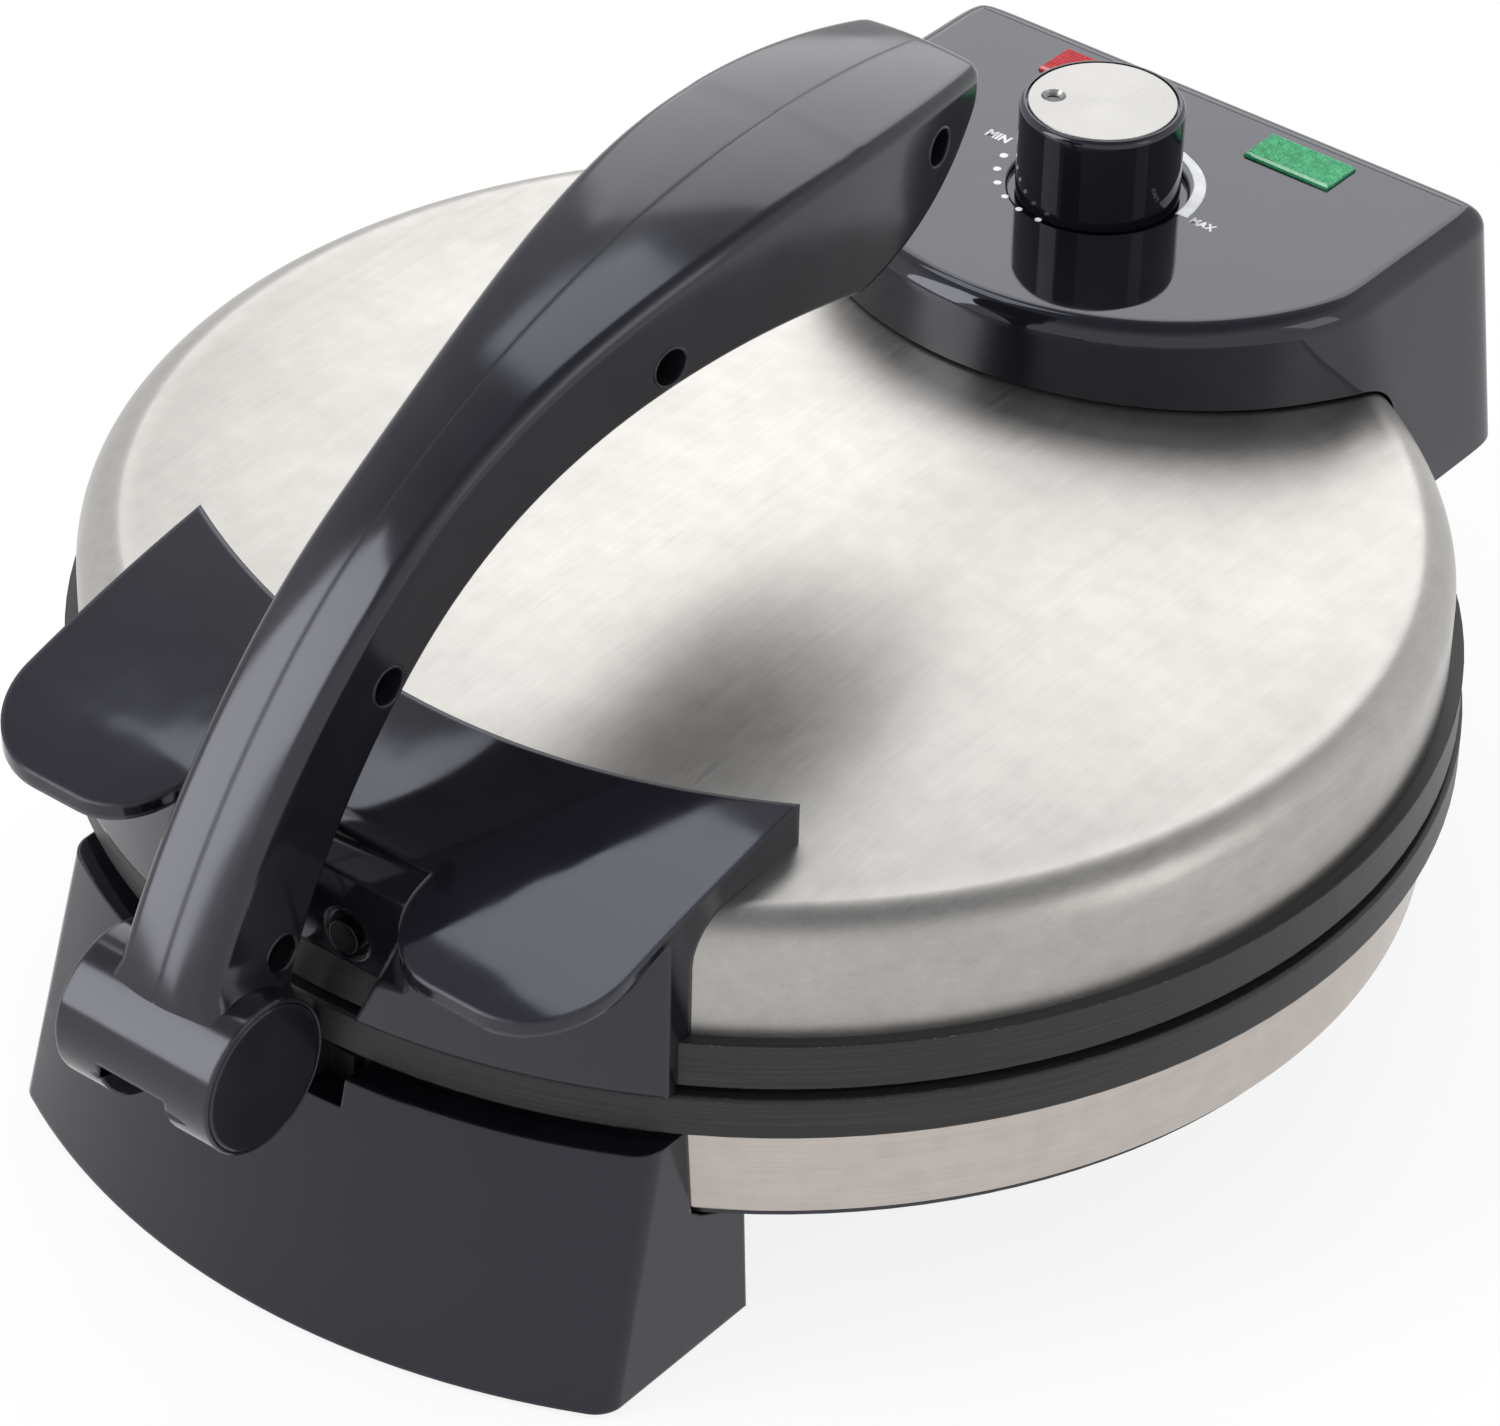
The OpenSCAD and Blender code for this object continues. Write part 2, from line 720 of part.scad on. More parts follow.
module lower_heat_shield() color(steel) difference() {
    z = lower_top_z - plate_t - element_tube_d - shield_room;
    shield_r = skirt_r - sheet_t - shield_gap;
    turned([[0, z], [shield_r, z], [shield_r, skirt_z + sheet_t],
        [shield_r - sheet_t, skirt_z + sheet_t], [shield_r - sheet_t, z - sheet_t], [0, z - sheet_t]]);
    terminal_windows();
    for (x = [-bolt_x, bolt_x]) translate([x, -shield_r, bolt_z]) rotate([90, 0, 0])
        cylinder(r = shield_hole_r, h = bore_l, center = true);
}

// Windows that the elements' terminals pass
module terminal_windows() {
    for (s = [-1, 1]) rotate([0, 0, 90 + s * pin_deg]) translate([element_r, 0, 0])
        cylinder(r = pin_out_r + window_gap, h = far);
}

module fuse_piece() {
    rotate([0, 90, 0]) cylinder(r = fuse_r, h = fuse_l, center = true);
    for (x = [-fuse_lug_x, fuse_lug_x])
        translate([x - fuse_lug_w / 2, -fuse_r - fuse_lug_out, -fuse_r])
            cube([fuse_lug_w, 2 * (fuse_r + fuse_lug_out), 2 * fuse_r]);
}

module lower_thermal_fuse() color("white")
    translate([0, fuse_y, lower_top_z - plate_t - fuse_r]) fuse_piece();

module upper_thermal_fuse() color("white")
    translate([0, fuse_y, upper_z + plate_t + fuse_r]) fuse_piece();

module terminal_block() color("ivory") translate([0, block_y, pan_z + pan_t]) difference() {
    centre_box(block_size[0], block_size[1], block_size[2]);
    for (i = [-1:1]) translate([i * block_pitch, 0, block_size[2] / 2]) {
        cylinder(r = block_screw_r, h = block_size[2]);
        rotate([90, 0, 0]) cylinder(r = block_wire_r, h = bore_l, center = true);
    }
}

module cord_gland() color("#101010") gland_place() difference() {
    union() {
        translate([0, 0, -gland_boss_l - gland_out])
            cylinder(r = gland_r, h = gland_boss_l + 2 * gland_out);
        cylinder(r = gland_boss_r - gland_out / 2, h = gland_out);
    }
    cylinder(r = gland_hole_r, h = bore_l, center = true);
}

module rubber_feet() color("#101010")
    for (s = [-1, 1]) for (p = pad_places) translate([p[0], s * p[1], 0])
        cylinder(r = pad_d / 2, h = pad_h);

module base_screws() color("silver")
    for (s = [-1, 1]) for (p = foot_screw_places) translate([p[0], s * p[1], 0]) {
        translate([0, 0, pan_z - foot_t - screw_head_h]) cylinder(r = screw_head_r, h = screw_head_h);
        translate([0, 0, pan_z - foot_t - eps]) cylinder(r = screw_r, h = screw_l);
    }

// A bent steel strap: two ears round the pin, joined by a web behind the foot's wall
module lever_bracket() color(black) difference() {
    union() {
        mirror_copy() side_slab(ear_half_in, ear_half_in + bracket_t) bracket_ear_outline();
        side_slab(-bracket_w / 2, bracket_w / 2) polygon([[web_y, web_low_z],
            [web_y + bracket_t, web_low_z], [web_y + bracket_t, foot_top_z], [web_y, foot_top_z]]);
    }
    translate([0, -pivot_y, pivot_z]) axis_x(-far / 2, pin_r + seat_fit, far);
    for (x = [-bolt_x, bolt_x]) bracket_bolt_bore(x);
    base_space(touch_gap);
}

module bracket_ear_outline() {
    translate([-pivot_y, pivot_z]) circle(r = eye_r);
    hull() {
        translate([-pivot_y, pivot_z]) circle(r = neck_r);
        translate([-pivot_y, pivot_z]) rotate(neck_deg) translate([neck_l, 0]) circle(r = neck_r);
    }
    polygon([[-pivot_y + ear_back_run, pivot_z - ear_top_drop],
        [-lower_r - ear_rim_gap, pivot_z - ear_top_drop],
        [web_y + bracket_t, plate_z - ear_web_drop], [web_y + bracket_t, notch_z + notch_play],
        [-foot_r_top - notch_play, notch_z + notch_play],
        [-pivot_y + ear_low_run, plate_z + ear_low_rise]]);
}

module lever_bracket_bolts() color("silver")
    for (x = [-bolt_x, bolt_x]) translate([x, web_y, bolt_z]) rotate([90, 0, 0]) {
        cylinder(r = bolt_head_r, h = bolt_head_h);
        translate([0, 0, -bolt_l]) cylinder(r = bolt_r, h = bolt_l + eps);
        translate([0, 0, -bolt_l]) cylinder(r = bolt_head_r, h = nut_h, $fn = 6);
    }

module lever_pin() color("silver")
    translate([0, -pivot_y, pivot_z]) axis_x(-pin_half, pin_r, 2 * pin_half);

module hinge_pins() color("silver") mirror_copy()
    translate([0, hinge_y, hinge_z]) {
        axis_x(knuckle_x - ear_gap, hinge_pin_r, ear_x + knuckle_w - knuckle_x + ear_gap);
        axis_x(ear_x + knuckle_w, hinge_pin_r + pin_head_t, pin_head_t);
    }

/* Lid */

module lid_cover() color(steel) difference() {
    turned(concat([[lid_r - sheet_t, lid_z], [lid_r, lid_z]], lid_outline(0),
        [for (i = [len(lid_outline(0)) - 1:-1:0]) lid_outline(sheet_t)[i]]));
    // Opening under the control housing
    translate([0, knob_y, 0]) cylinder(r = cover_window_r, h = far);
    for (s = [-1, 1]) bracket_screw(s) cylinder(r = screw_r + seat_fit, h = bore_l, center = true);
}

module upper_plate() color(dark_metal)
    plate_solid(upper_z, upper_rim_h, upper_r, false);

module upper_heat_shield() color(steel) difference() {
    z = upper_z + plate_t + element_tube_d + shield_room;
    r = lid_r - sheet_t - shield_gap;
    turned([[0, z + sheet_t], [r, z + sheet_t], [r, lid_z], [r - sheet_t, lid_z],
        [r - sheet_t, z], [0, z]]);
    terminal_windows();
    translate([0, knob_y, 0]) cylinder(r = probe_r + probe_gap, h = far);
    for (s = [-1, 1]) bracket_screw(s) cylinder(r = shield_hole_r, h = bore_l, center = true);
}

// The place of a screw of the winged bracket, level, under the gap between the wings
module bracket_screw(s) {
    translate([s * bracket_screw_x, -bracket_wall_y, bracket_screw_z]) rotate([90, 0, 0]) children();
}

module wing_outline(inset) {
    difference() {
        union() {
            translate([-wing_half + inset, -lobe_y])
                square([2 * (wing_half - inset), lobe_y - wing_rear_y + lobe_r / 2]);
            mirror_copy() {
                translate([wing_half - lobe_r, -lobe_y]) circle(r = lobe_r - inset);
                translate([lobe_in_x, -lobe_in_y]) circle(r = lobe_in_r - inset);
                translate([lobe_in_x, -wing_front_y + inset])
                    square([wing_half - lobe_r - lobe_in_x, lobe_r]);
                translate([wing_gap_half + inset, -lobe_in_y]) square([lobe_r, lobe_r]);
            }
        }
        translate([0, wing_back_y]) circle(r = wing_back_r + inset);
        translate([-wing_gap_half - inset, -far]) square([2 * (wing_gap_half + inset), far - recess_y]);
    }
}

// Everything between two arched faces, drop and drop2 below the wings' top
module under_wings(drop, drop2) {
    side_slab(-far / 2, far / 2) intersection() {
        difference() {
            translate(wing_arch_c) circle(r = wing_arch_r - drop, $fn = fine);
            translate(wing_arch_c) circle(r = wing_arch_r - drop2, $fn = fine);
        }
        translate([-far / 2, 0]) square([far / 2, far]);
    }
}

// The recess between the wings, narrower towards its lower end, from depth y forwards
module bracket_recess(y) {
    rotate([90, 0, 0]) translate([0, 0, y]) linear_extrude(far)
        polygon([[-recess_half_low, bracket_low_z - eps], [recess_half_low, bracket_low_z - eps],
            [wing_gap_half, recess_top_z], [wing_gap_half, far], [-wing_gap_half, far],
            [-wing_gap_half, recess_top_z]]);
}

module lid_bracket() color(black) difference() {
    union() {
        // Wings
        intersection() {
            linear_extrude(far) wing_outline(0);
            under_wings(0, wing_t);
        }
        // Walls round the space over the lid's shoulder
        intersection() {
            linear_extrude(far) difference() {
                wing_outline(0);
                difference() {
                    wing_outline(bracket_side_t);
                    translate([-wing_gap_half, -bracket_wall_y])
                        square([2 * wing_gap_half, wing_gap_half]);
                }
            }
            under_wings(wing_t / 2, bracket_depth);
            cylinder(r = bracket_r, h = far);
        }
        // Skirt in front of the upper plate's rim
        intersection() {
            translate([0, 0, bracket_low_z]) difference() {
                cylinder(r = bracket_r, h = far);
                translate([0, 0, -eps]) cylinder(r = bracket_r - bracket_side_t, h = far);
            }
            translate([-wing_half, -far, 0]) cube([2 * wing_half, far, far]);
            under_wings(wing_t / 2, bracket_depth);
        }
        // Wall at the back of the gap, with the screws' sleeves
        intersection() {
            translate([-wing_gap_half, -bracket_wall_y, lid_z + cover_gap])
                cube([2 * wing_gap_half, 3 * bracket_side_t, far]);
            under_wings(wing_t / 2, bracket_depth);
        }
    }
    lid_space(touch_gap);
    cylinder(r = bracket_r - bracket_side_t, h = lid_z);
    translate([0, 0, -far + bracket_low_z]) centre_box(2 * far, 2 * far, far);
    // Recess in front of the gap's wall, and below that wall
    bracket_recess(bracket_wall_y);
    intersection() {
        bracket_recess(lid_r - rim_w);
        translate([0, 0, lid_z + cover_gap - far]) centre_box(2 * far, 2 * far, far);
    }
    for (s = [-1, 1]) bracket_screw(s) {
        cylinder(r = screw_r + seat_fit, h = bore_l, center = true);
        translate([0, 0, sleeve_floor_t - bracket_side_t]) cylinder(r = bracket_hole_r, h = bore_l);
    }
}

module lid_bracket_screws() color("silver") for (s = [-1, 1]) bracket_screw(s) {
    translate([0, 0, sleeve_floor_t - bracket_side_t]) {
        cylinder(r = screw_head_r, h = screw_head_h);
        translate([0, 0, -bracket_screw_l]) cylinder(r = screw_r, h = bracket_screw_l + eps);
    }
}

// Plan of the control housing, wide enough for its sides to be cut to their lean
module housing_plan(inset) {
    r = housing_front_r - inset;
    half = housing_half - inset;
    a = acos(half / r);
    wide = housing_half + housing_flare + edge_cut;
    back = housing_rear_y + housing_back_flare + edge_cut;
    polygon(concat([[wide, back], [wide, housing_front_y - r * sin(a) + wide - half]],
        [for (i = [0:24]) let (t = -a - i * (180 - 2 * a) / 24)
            [r * cos(t), housing_front_y + r * sin(t)]],
        [[-wide, housing_front_y - r * sin(a) + wide - half], [-wide, back]]));
}

// The housing's outer form, taken in by inset at its sides and by cut at its top
module housing_form(inset, cut) {
    z0 = housing_low_z;
    z1 = housing_top_z;
    w0 = housing_half + housing_flare - inset;
    w1 = housing_half - inset;
    y0 = housing_rear_y + housing_back_flare - inset;
    y1 = housing_rear_y - inset;
    c = edge_cut;
    intersection() {
        translate([0, 0, z0 - inset]) linear_extrude(z1 - z0 - cut + inset) housing_plan(inset);
        translate([0, far, 0]) rotate([90, 0, 0]) linear_extrude(far) polygon([[-w0, z0 - inset],
            [w0, z0 - inset], [w0, z0], [w1, z1 - c], [w1 - c, z1], [-w1 + c, z1],
            [-w1, z1 - c], [-w0, z0]]);
        side_slab(-far / 2, far / 2) polygon([[0, z0 - inset], [y0, z0 - inset], [y0, z0],
            [y1, z1 - c], [y1 - c, z1], [0, z1]]);
    }
}

module control_housing() color(black) difference() {
    union() {
        difference() {
            housing_form(0, 0);
            difference() {
                housing_form(housing_t, housing_top_t);
                for (p = housing_screw_places) translate([p[0], p[1], housing_low_z + underside_t])
                    cylinder(r = housing_boss_r, h = far);
            }
        }
        intersection() {
            housing_form(0, 0);
            translate([0, knob_y, housing_top_z - housing_top_t - knob_well_deep])
                cylinder(r = knob_well_r + well_wall, h = housing_top_t + knob_well_deep);
        }
    }
    lid_space(cover_gap);
    translate([0, knob_y, housing_top_z - knob_well_deep]) cylinder(r = knob_well_r, h = far);
    translate([0, knob_y, 0]) cylinder(r = shaft_collar_r + cover_gap, h = far);
    for (s = [-1, 1]) translate([s * lens_x, lens_y, housing_top_z - 2 * housing_top_t])
        centre_box(lens_w, lens_l, far);
    for (p = housing_screw_places) translate([p[0], p[1], 0])
        cylinder(r = screw_r + seat_fit, h = housing_low_z + housing_screw_l + housing_top_t);
}

// Closes the housing behind the lid and carries the lid's half of the hinge
module housing_underside() color(black) difference() {
    union() {
        intersection() {
            housing_form(housing_t + underside_gap, 0);
            translate([-far, 0, housing_low_z]) cube([2 * far, far, underside_t]);
        }
        mirror_copy() translate([0, hinge_y, hinge_z]) axis_x(knuckle_x, knuckle_r, knuckle_w);
        mirror_copy() side_slab(knuckle_x, knuckle_x + knuckle_w)
            polygon([[hinge_y - knuckle_r, hinge_z], [hinge_y + knuckle_r, hinge_z],
                [hinge_y + knuckle_r, housing_low_z + eps], [hinge_y - knuckle_r, housing_low_z + eps]]);
    }
    lid_space(cover_gap);
    hinge_bores(hinge_pin_r + turn_fit);
    for (p = housing_screw_places) translate([p[0], p[1], 0])
        cylinder(r = screw_r + seat_fit, h = far);
}

module housing_screws() color("silver")
    for (p = housing_screw_places) translate([p[0], p[1], housing_low_z]) {
        translate([0, 0, -screw_head_h]) cylinder(r = screw_head_r, h = screw_head_h);
        translate([0, 0, -eps]) cylinder(r = screw_r, h = housing_screw_l);
    }

module thermostat() color("ivory") translate([0, knob_y, 0]) difference() {
    base_z = thermostat_top_z - thermostat_base[2];
    union() {
        translate([0, 0, base_z])
            centre_box(thermostat_base[0], thermostat_base[1], thermostat_base[2]);
        translate([0, 0, thermostat_low_z])
            cylinder(r = thermostat_r, h = base_z - thermostat_low_z + eps);
        translate([0, 0, upper_z + plate_t])
            cylinder(r = probe_r, h = thermostat_low_z - upper_z - plate_t + eps);
    }
    translate([0, 0, thermostat_top_z - shaft_deep]) cylinder(r = shaft_r + turn_fit, h = far);
}

module indicator_lamps() color("ivory") for (s = [-1, 1])
    translate([s * lens_x, lens_y, housing_top_z - housing_top_t - lens_flange_t - lamp_h])
        centre_box(lens_w - lamp_in_w, lens_l - lamp_in_l, lamp_h);

module lens(s) {
    z = housing_top_z - housing_top_t;
    translate([s * lens_x, lens_y, z - lens_flange_t])
        centre_box(lens_w + 2 * lens_flange_out, lens_l + 2 * lens_flange_side, lens_flange_t);
    translate([s * lens_x, lens_y, z - eps])
        centre_box(lens_w - 2 * lens_gap, lens_l - 2 * lens_gap, housing_top_t + lens_proud + eps);
}

module red_lens() color("#b01018") lens(-1);

module green_lens() color("#0f9a4a") lens(1);

/* Knob */

module knob() color(black) translate([0, knob_y, 0]) difference() {
    turned([[0, knob_low_z], [knob_r - knob_bevel, knob_low_z], [knob_r, knob_low_z + knob_bevel],
        [knob_r, knob_top_z - knob_shoulder_h], [knob_r - knob_bevel, knob_top_z - knob_bevel],
        [knob_r - 2 * knob_bevel, knob_top_z], [0, knob_top_z]]);
    translate([0, 0, knob_top_z - disc_t]) cylinder(r = knob_disc_d / 2 + disc_gap, h = knob_h);
    cylinder(r = shaft_r + seat_fit, h = knob_top_z - knob_roof_t);
}

module knob_disc() color(steel) translate([0, knob_y, knob_top_z - disc_t]) difference() {
    cylinder(r = knob_disc_d / 2, h = disc_t);
    rotate([0, 0, dimple_deg]) translate([dimple_at, 0, disc_t - dimple_deep])
        cylinder(r = dimple_r, h = disc_t);
}

module thermostat_shaft() color("silver") translate([0, knob_y, 0]) {
    z0 = thermostat_top_z - shaft_deep + shaft_end_gap;
    translate([0, 0, z0]) cylinder(r = shaft_r, h = knob_top_z - knob_roof_t - shaft_end_gap - z0);
}

/* Lever */

// The lever from the side, taken in by inset
module lever_outline(inset) {
    difference() {
        intersection() {
            union() {
                translate(outer_c) circle(r = lever_outer_r - inset, $fn = fine);
                translate([top_run - pivot_y, 0]) square(far);
            }
            translate(top_c) circle(r = lever_grip_r - inset, $fn = fine);
            translate([-pivot_y - barrel_r, pivot_z])
                square([pivot_y + barrel_r + tip_end_y - inset, far]);
        }
        translate(inner_c) circle(r = lever_inner_r + inset, $fn = fine);
        difference() {
            translate([belly_y, 0]) square([far, far]);
            translate(belly_c) circle(r = belly_r - inset, $fn = fine);
            translate([0, inset]) polygon([tip_low[0], tip_low[1], [tip_low[1][0], far],
                [tip_low[0][0], far]]);
        }
    }
}

// The lever from above: slim at the barrel, wide at the grip, narrower at its square end
function lever_half_at(y) = y > grip_y
    ? lever_half_grip * sqrt(max(0, 1 - pow((y - grip_y) / lever_end_l, 2)))
    : y > slim_y
        ? lever_half_low + (lever_half_grip - lever_half_low)
            * pow(cos(90 * (grip_y - y) / (grip_y - slim_y)), 2)
        : lever_half_low;

module lever_plan(inset) {
    side = [for (y = lever_ys) [lever_half_at(y) - inset, y]];
    back = [for (i = [len(side) - 1:-1:0]) [-side[i][0], side[i][1]]];
    polygon(concat(side, back));
}

module lever_form(inset) {
    intersection() {
        side_slab(-far / 4, far / 4) lever_outline(inset);
        linear_extrude(far) lever_plan(inset);
    }
}

module lever_shells() {
    difference() {
        union() {
            difference() {
                lever_form(0);
                difference() {
                    lever_form(lever_t);
                    for (p = lever_screw_places) translate([0, p[0], p[1]])
                        axis_x(-far / 4, lever_boss_r, far / 2);
                    // The foot of the lever is solid round the barrel.
                    translate([0, -pivot_y, pivot_z]) axis_x(-far / 4, lever_foot_r, far / 2);
                }
            }
            translate([0, -pivot_y, pivot_z]) axis_x(-barrel_w / 2, barrel_r, barrel_w);
        }
        translate([0, -pivot_y, pivot_z]) {
            axis_x(-far / 2, bush_r + seat_fit, far);
            mirror_copy() axis_x(barrel_w / 2 - cap_t, cap_r + seat_fit, far);
            barrel_slot();
        }
        for (p = lever_screw_places) translate([0, p[0], p[1]]) {
            axis_x(head_x, sunk_d / 2, far);
            axis_x(-lever_screw_in - thread_room, lever_screw_r + seat_fit, far);
        }
    }
}

// The slot lets the barrel swing past the bracket's ears.
module barrel_slot() {
    l = 2 * barrel_r;
    d = neck_deg - lever_swing;
    translate([-slot_w / 2, 0, 0]) rotate([90, 0, 90]) linear_extrude(slot_w) {
        circle(r = eye_r + eye_room);
        polygon(concat([[0, 0], neck_room * [-sin(neck_deg), cos(neck_deg)],
            neck_room * [-sin(neck_deg), cos(neck_deg)] + l * [cos(neck_deg), sin(neck_deg)]],
            [for (i = [1:7]) let (a = neck_deg - i * lever_swing / 8) 1.2 * l * [cos(a), sin(a)]],
            [neck_room * [sin(d), -cos(d)] + l * [cos(d), sin(d)], neck_room * [sin(d), -cos(d)]]));
    }
}

module lever_right_shell() color(black) intersection() {
    lever_shells();
    translate([0, -far, 0]) cube([far, 2 * far, far]);
}

module lever_left_shell() color(black) intersection() {
    lever_shells();
    translate([-far, -far, 0]) cube([far, 2 * far, far]);
}

module lever_screws() color("silver") for (p = lever_screw_places) translate([0, p[0], p[1]]) {
    axis_x(head_x, lever_head_r, lever_head_h);
    axis_x(-lever_screw_in, lever_screw_r, head_x + lever_screw_in + eps);
}

module barrel_caps() color(black) translate([0, -pivot_y, pivot_z])
    mirror_copy() axis_x(barrel_w / 2 - cap_t, cap_r, cap_t);

module pivot_bushes() color("#b8863b") translate([0, -pivot_y, pivot_z]) mirror_copy() difference() {
    axis_x(slot_w / 2 + bush_play, bush_r, pin_half - slot_w / 2);
    axis_x(0, pin_r + turn_fit, far);
}

module place() translate([0, centre_y, 0]) children();

place() front_foot();
place() rear_foot();
place() base_skirt();
place() bottom_pan();
place() lower_plate();
place() lower_element();
place() lower_heat_shield();
place() lower_thermal_fuse();
place() terminal_block();
place() cord_gland();
place() rubber_feet();
place() base_screws();
place() lever_bracket();
place() lever_bracket_bolts();
place() lever_pin();
place() hinge_pins();
place() lid_cover();
place() upper_plate();
place() upper_element();
place() upper_heat_shield();
place() upper_thermal_fuse();
place() lid_bracket();
place() lid_bracket_screws();
place() control_housing();
place() housing_underside();
place() housing_screws();
place() thermostat();
place() indicator_lamps();
place() red_lens();
place() green_lens();
place() knob();
place() knob_disc();
place() thermostat_shaft();
place() lever_left_shell();
place() lever_right_shell();
place() lever_screws();
place() barrel_caps();
place() pivot_bushes();
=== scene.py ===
import json
import math
import bpy
import bmesh
from mathutils import Matrix, Vector


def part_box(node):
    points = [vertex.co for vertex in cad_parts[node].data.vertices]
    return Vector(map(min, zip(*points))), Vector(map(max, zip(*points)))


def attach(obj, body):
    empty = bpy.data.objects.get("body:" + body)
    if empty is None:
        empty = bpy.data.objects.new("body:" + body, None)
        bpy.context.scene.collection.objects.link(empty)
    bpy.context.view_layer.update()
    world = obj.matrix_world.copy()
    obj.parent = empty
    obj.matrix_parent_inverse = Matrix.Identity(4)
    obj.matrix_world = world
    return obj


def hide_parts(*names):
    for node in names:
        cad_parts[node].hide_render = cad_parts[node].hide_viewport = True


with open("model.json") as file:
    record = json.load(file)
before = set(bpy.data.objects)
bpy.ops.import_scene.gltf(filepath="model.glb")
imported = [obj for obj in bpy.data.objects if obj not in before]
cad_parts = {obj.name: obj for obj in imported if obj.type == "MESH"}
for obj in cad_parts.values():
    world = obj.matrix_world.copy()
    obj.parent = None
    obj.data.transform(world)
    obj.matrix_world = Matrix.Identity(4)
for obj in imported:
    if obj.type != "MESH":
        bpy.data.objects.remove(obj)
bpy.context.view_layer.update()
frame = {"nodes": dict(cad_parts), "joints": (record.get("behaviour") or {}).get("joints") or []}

# Lengths are in metres, in the frame of the CAD model: x to the right, y to the back and z up
# from the counter. The plates' common axis is upright at axis_y.
nodes = frame["nodes"]
lower_low, lower_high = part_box("lower_plate")
upper_low, upper_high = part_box("upper_plate")
cover_low, cover_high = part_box("lid_cover")
lens_low, lens_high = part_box("green_lens")
axis_y = (lower_low.y + lower_high.y) / 2
joints = {j["name"]: j for j in frame["joints"]}
pivot = Vector(joints["lever_swing"]["pos_m"])
knob_at = Vector(joints["knob_turn"]["pos_m"])
knob_axis = Vector((0, knob_at.y, 0))
upright = Vector((0, 0, 1))
rightwards = Vector((1, 0, 0))


def at(x, y, z):
    """A point given from the plates' axis at the counter."""
    return Vector((x, y + axis_y, z))


# The camera: the photograph's view, worked out from the ellipses of the round rims in it
camera_place = at(0.66898, -0.86549, 0.85852)
camera_turn = math.radians(37.836)
camera_tilt = math.radians(36.359)
camera_roll = math.radians(1.533)
camera_lens = 155.77
camera_sensor = 36.0
camera_reach = 20.0


def make_camera():
    data = bpy.data.cameras.new("camera")
    data.lens = camera_lens
    data.sensor_width = camera_sensor
    data.clip_end = camera_reach
    cam = placed("camera", data)
    cam.matrix_world = (Matrix.Translation(camera_place) @ Matrix.Rotation(camera_turn, 4, "Z")
                        @ Matrix.Rotation(math.pi / 2 - camera_tilt, 4, "X")
                        @ Matrix.Rotation(camera_roll, 4, "Z"))
    bpy.context.scene.camera = cam
    bpy.context.scene.view_settings.view_transform = "Standard"


# Materials

def join(m, source, target):
    m.node_tree.links.new(source, target)


def feed(m, value, socket):
    """Sets a socket to a number, colour or vector, or joins another node's output to it."""
    if isinstance(value, bpy.types.NodeSocket):
        join(m, value, socket)
    elif isinstance(value, tuple) and socket.type == "RGBA":
        socket.default_value = (*value, 1)
    else:
        socket.default_value = value


def feed_node(m, n, **values):
    """Feeds a node's sockets, whose names start with a capital, and sets its other values."""
    for key, value in values.items():
        if key[0].isupper():
            feed(m, value, n.inputs[key.replace("_", " ")])
        else:
            setattr(n, key, value)
    return n


def add(m, kind, **values):
    return feed_node(m, m.node_tree.nodes.new(kind), **values)


def feed_shader(m, **values):
    feed_node(m, m.node_tree.nodes["Principled BSDF"], **values)
    return m


def new_material(name, color, rough, metal=0.0, ior=1.5):
    m = bpy.data.materials.new(name)
    m.use_nodes = True
    m.diffuse_color = (*color, 1)
    return feed_shader(m, Base_Color=color, Roughness=rough, Metallic=metal, IOR=ior)


def place_of(m, stretch=(1, 1, 1), shift=(0, 0, 0)):
    """The point on the object, each axis multiplied by stretch, and then moved by shift."""
    coords = add(m, "ShaderNodeTexCoord")
    mapping = add(m, "ShaderNodeMapping", Vector=coords.outputs["Object"], Scale=stretch, Location=shift)
    return mapping.outputs["Vector"]


def noise(m, place, scale, detail=3.0, rough=0.55):
    n = add(m, "ShaderNodeTexNoise", Vector=place, Scale=scale, Detail=detail, Roughness=rough)
    return n.outputs["Fac"]


# The range that holds most of a noise's values
usual = (0.3, 0.7)


def spread(m, value, low, high, out_low=0.0, out_high=1.0):
    """A value carried over from the range low to high into the range out_low to out_high."""
    n = add(m, "ShaderNodeMapRange", Value=value, From_Min=low, From_Max=high, To_Min=out_low,
            To_Max=out_high)
    return n.outputs["Result"]


def math_node(m, how, a, b):
    n = add(m, "ShaderNodeMath", operation=how)
    feed(m, a, n.inputs[0])
    feed(m, b, n.inputs[1])
    return n.outputs["Value"]


def scaled(m, value, factor):
    return math_node(m, "MULTIPLY", value, factor)


def added(m, *values):
    total = values[0]
    for value in values[1:]:
        total = math_node(m, "ADD", total, value)
    return total


def times(color, factor):
    """A colour made lighter or darker."""
    return tuple(min(1.0, c * factor) for c in color)


def mix_color(m, factor, a, b):
    n = add(m, "ShaderNodeMix", data_type="RGBA")
    join(m, factor, n.inputs["Factor"])
    for key, value in (("A", a), ("B", b)):
        feed(m, value, [s for s in n.inputs if s.name == key and s.type == "RGBA"][0])
    return [s for s in n.outputs if s.type == "RGBA"][0]


def bump(m, height, distance, strength, normal=None):
    n = add(m, "ShaderNodeBump", Height=height, Distance=distance, Strength=strength)
    if normal is not None:
        join(m, normal, n.inputs["Normal"])
    return n.outputs["Normal"]


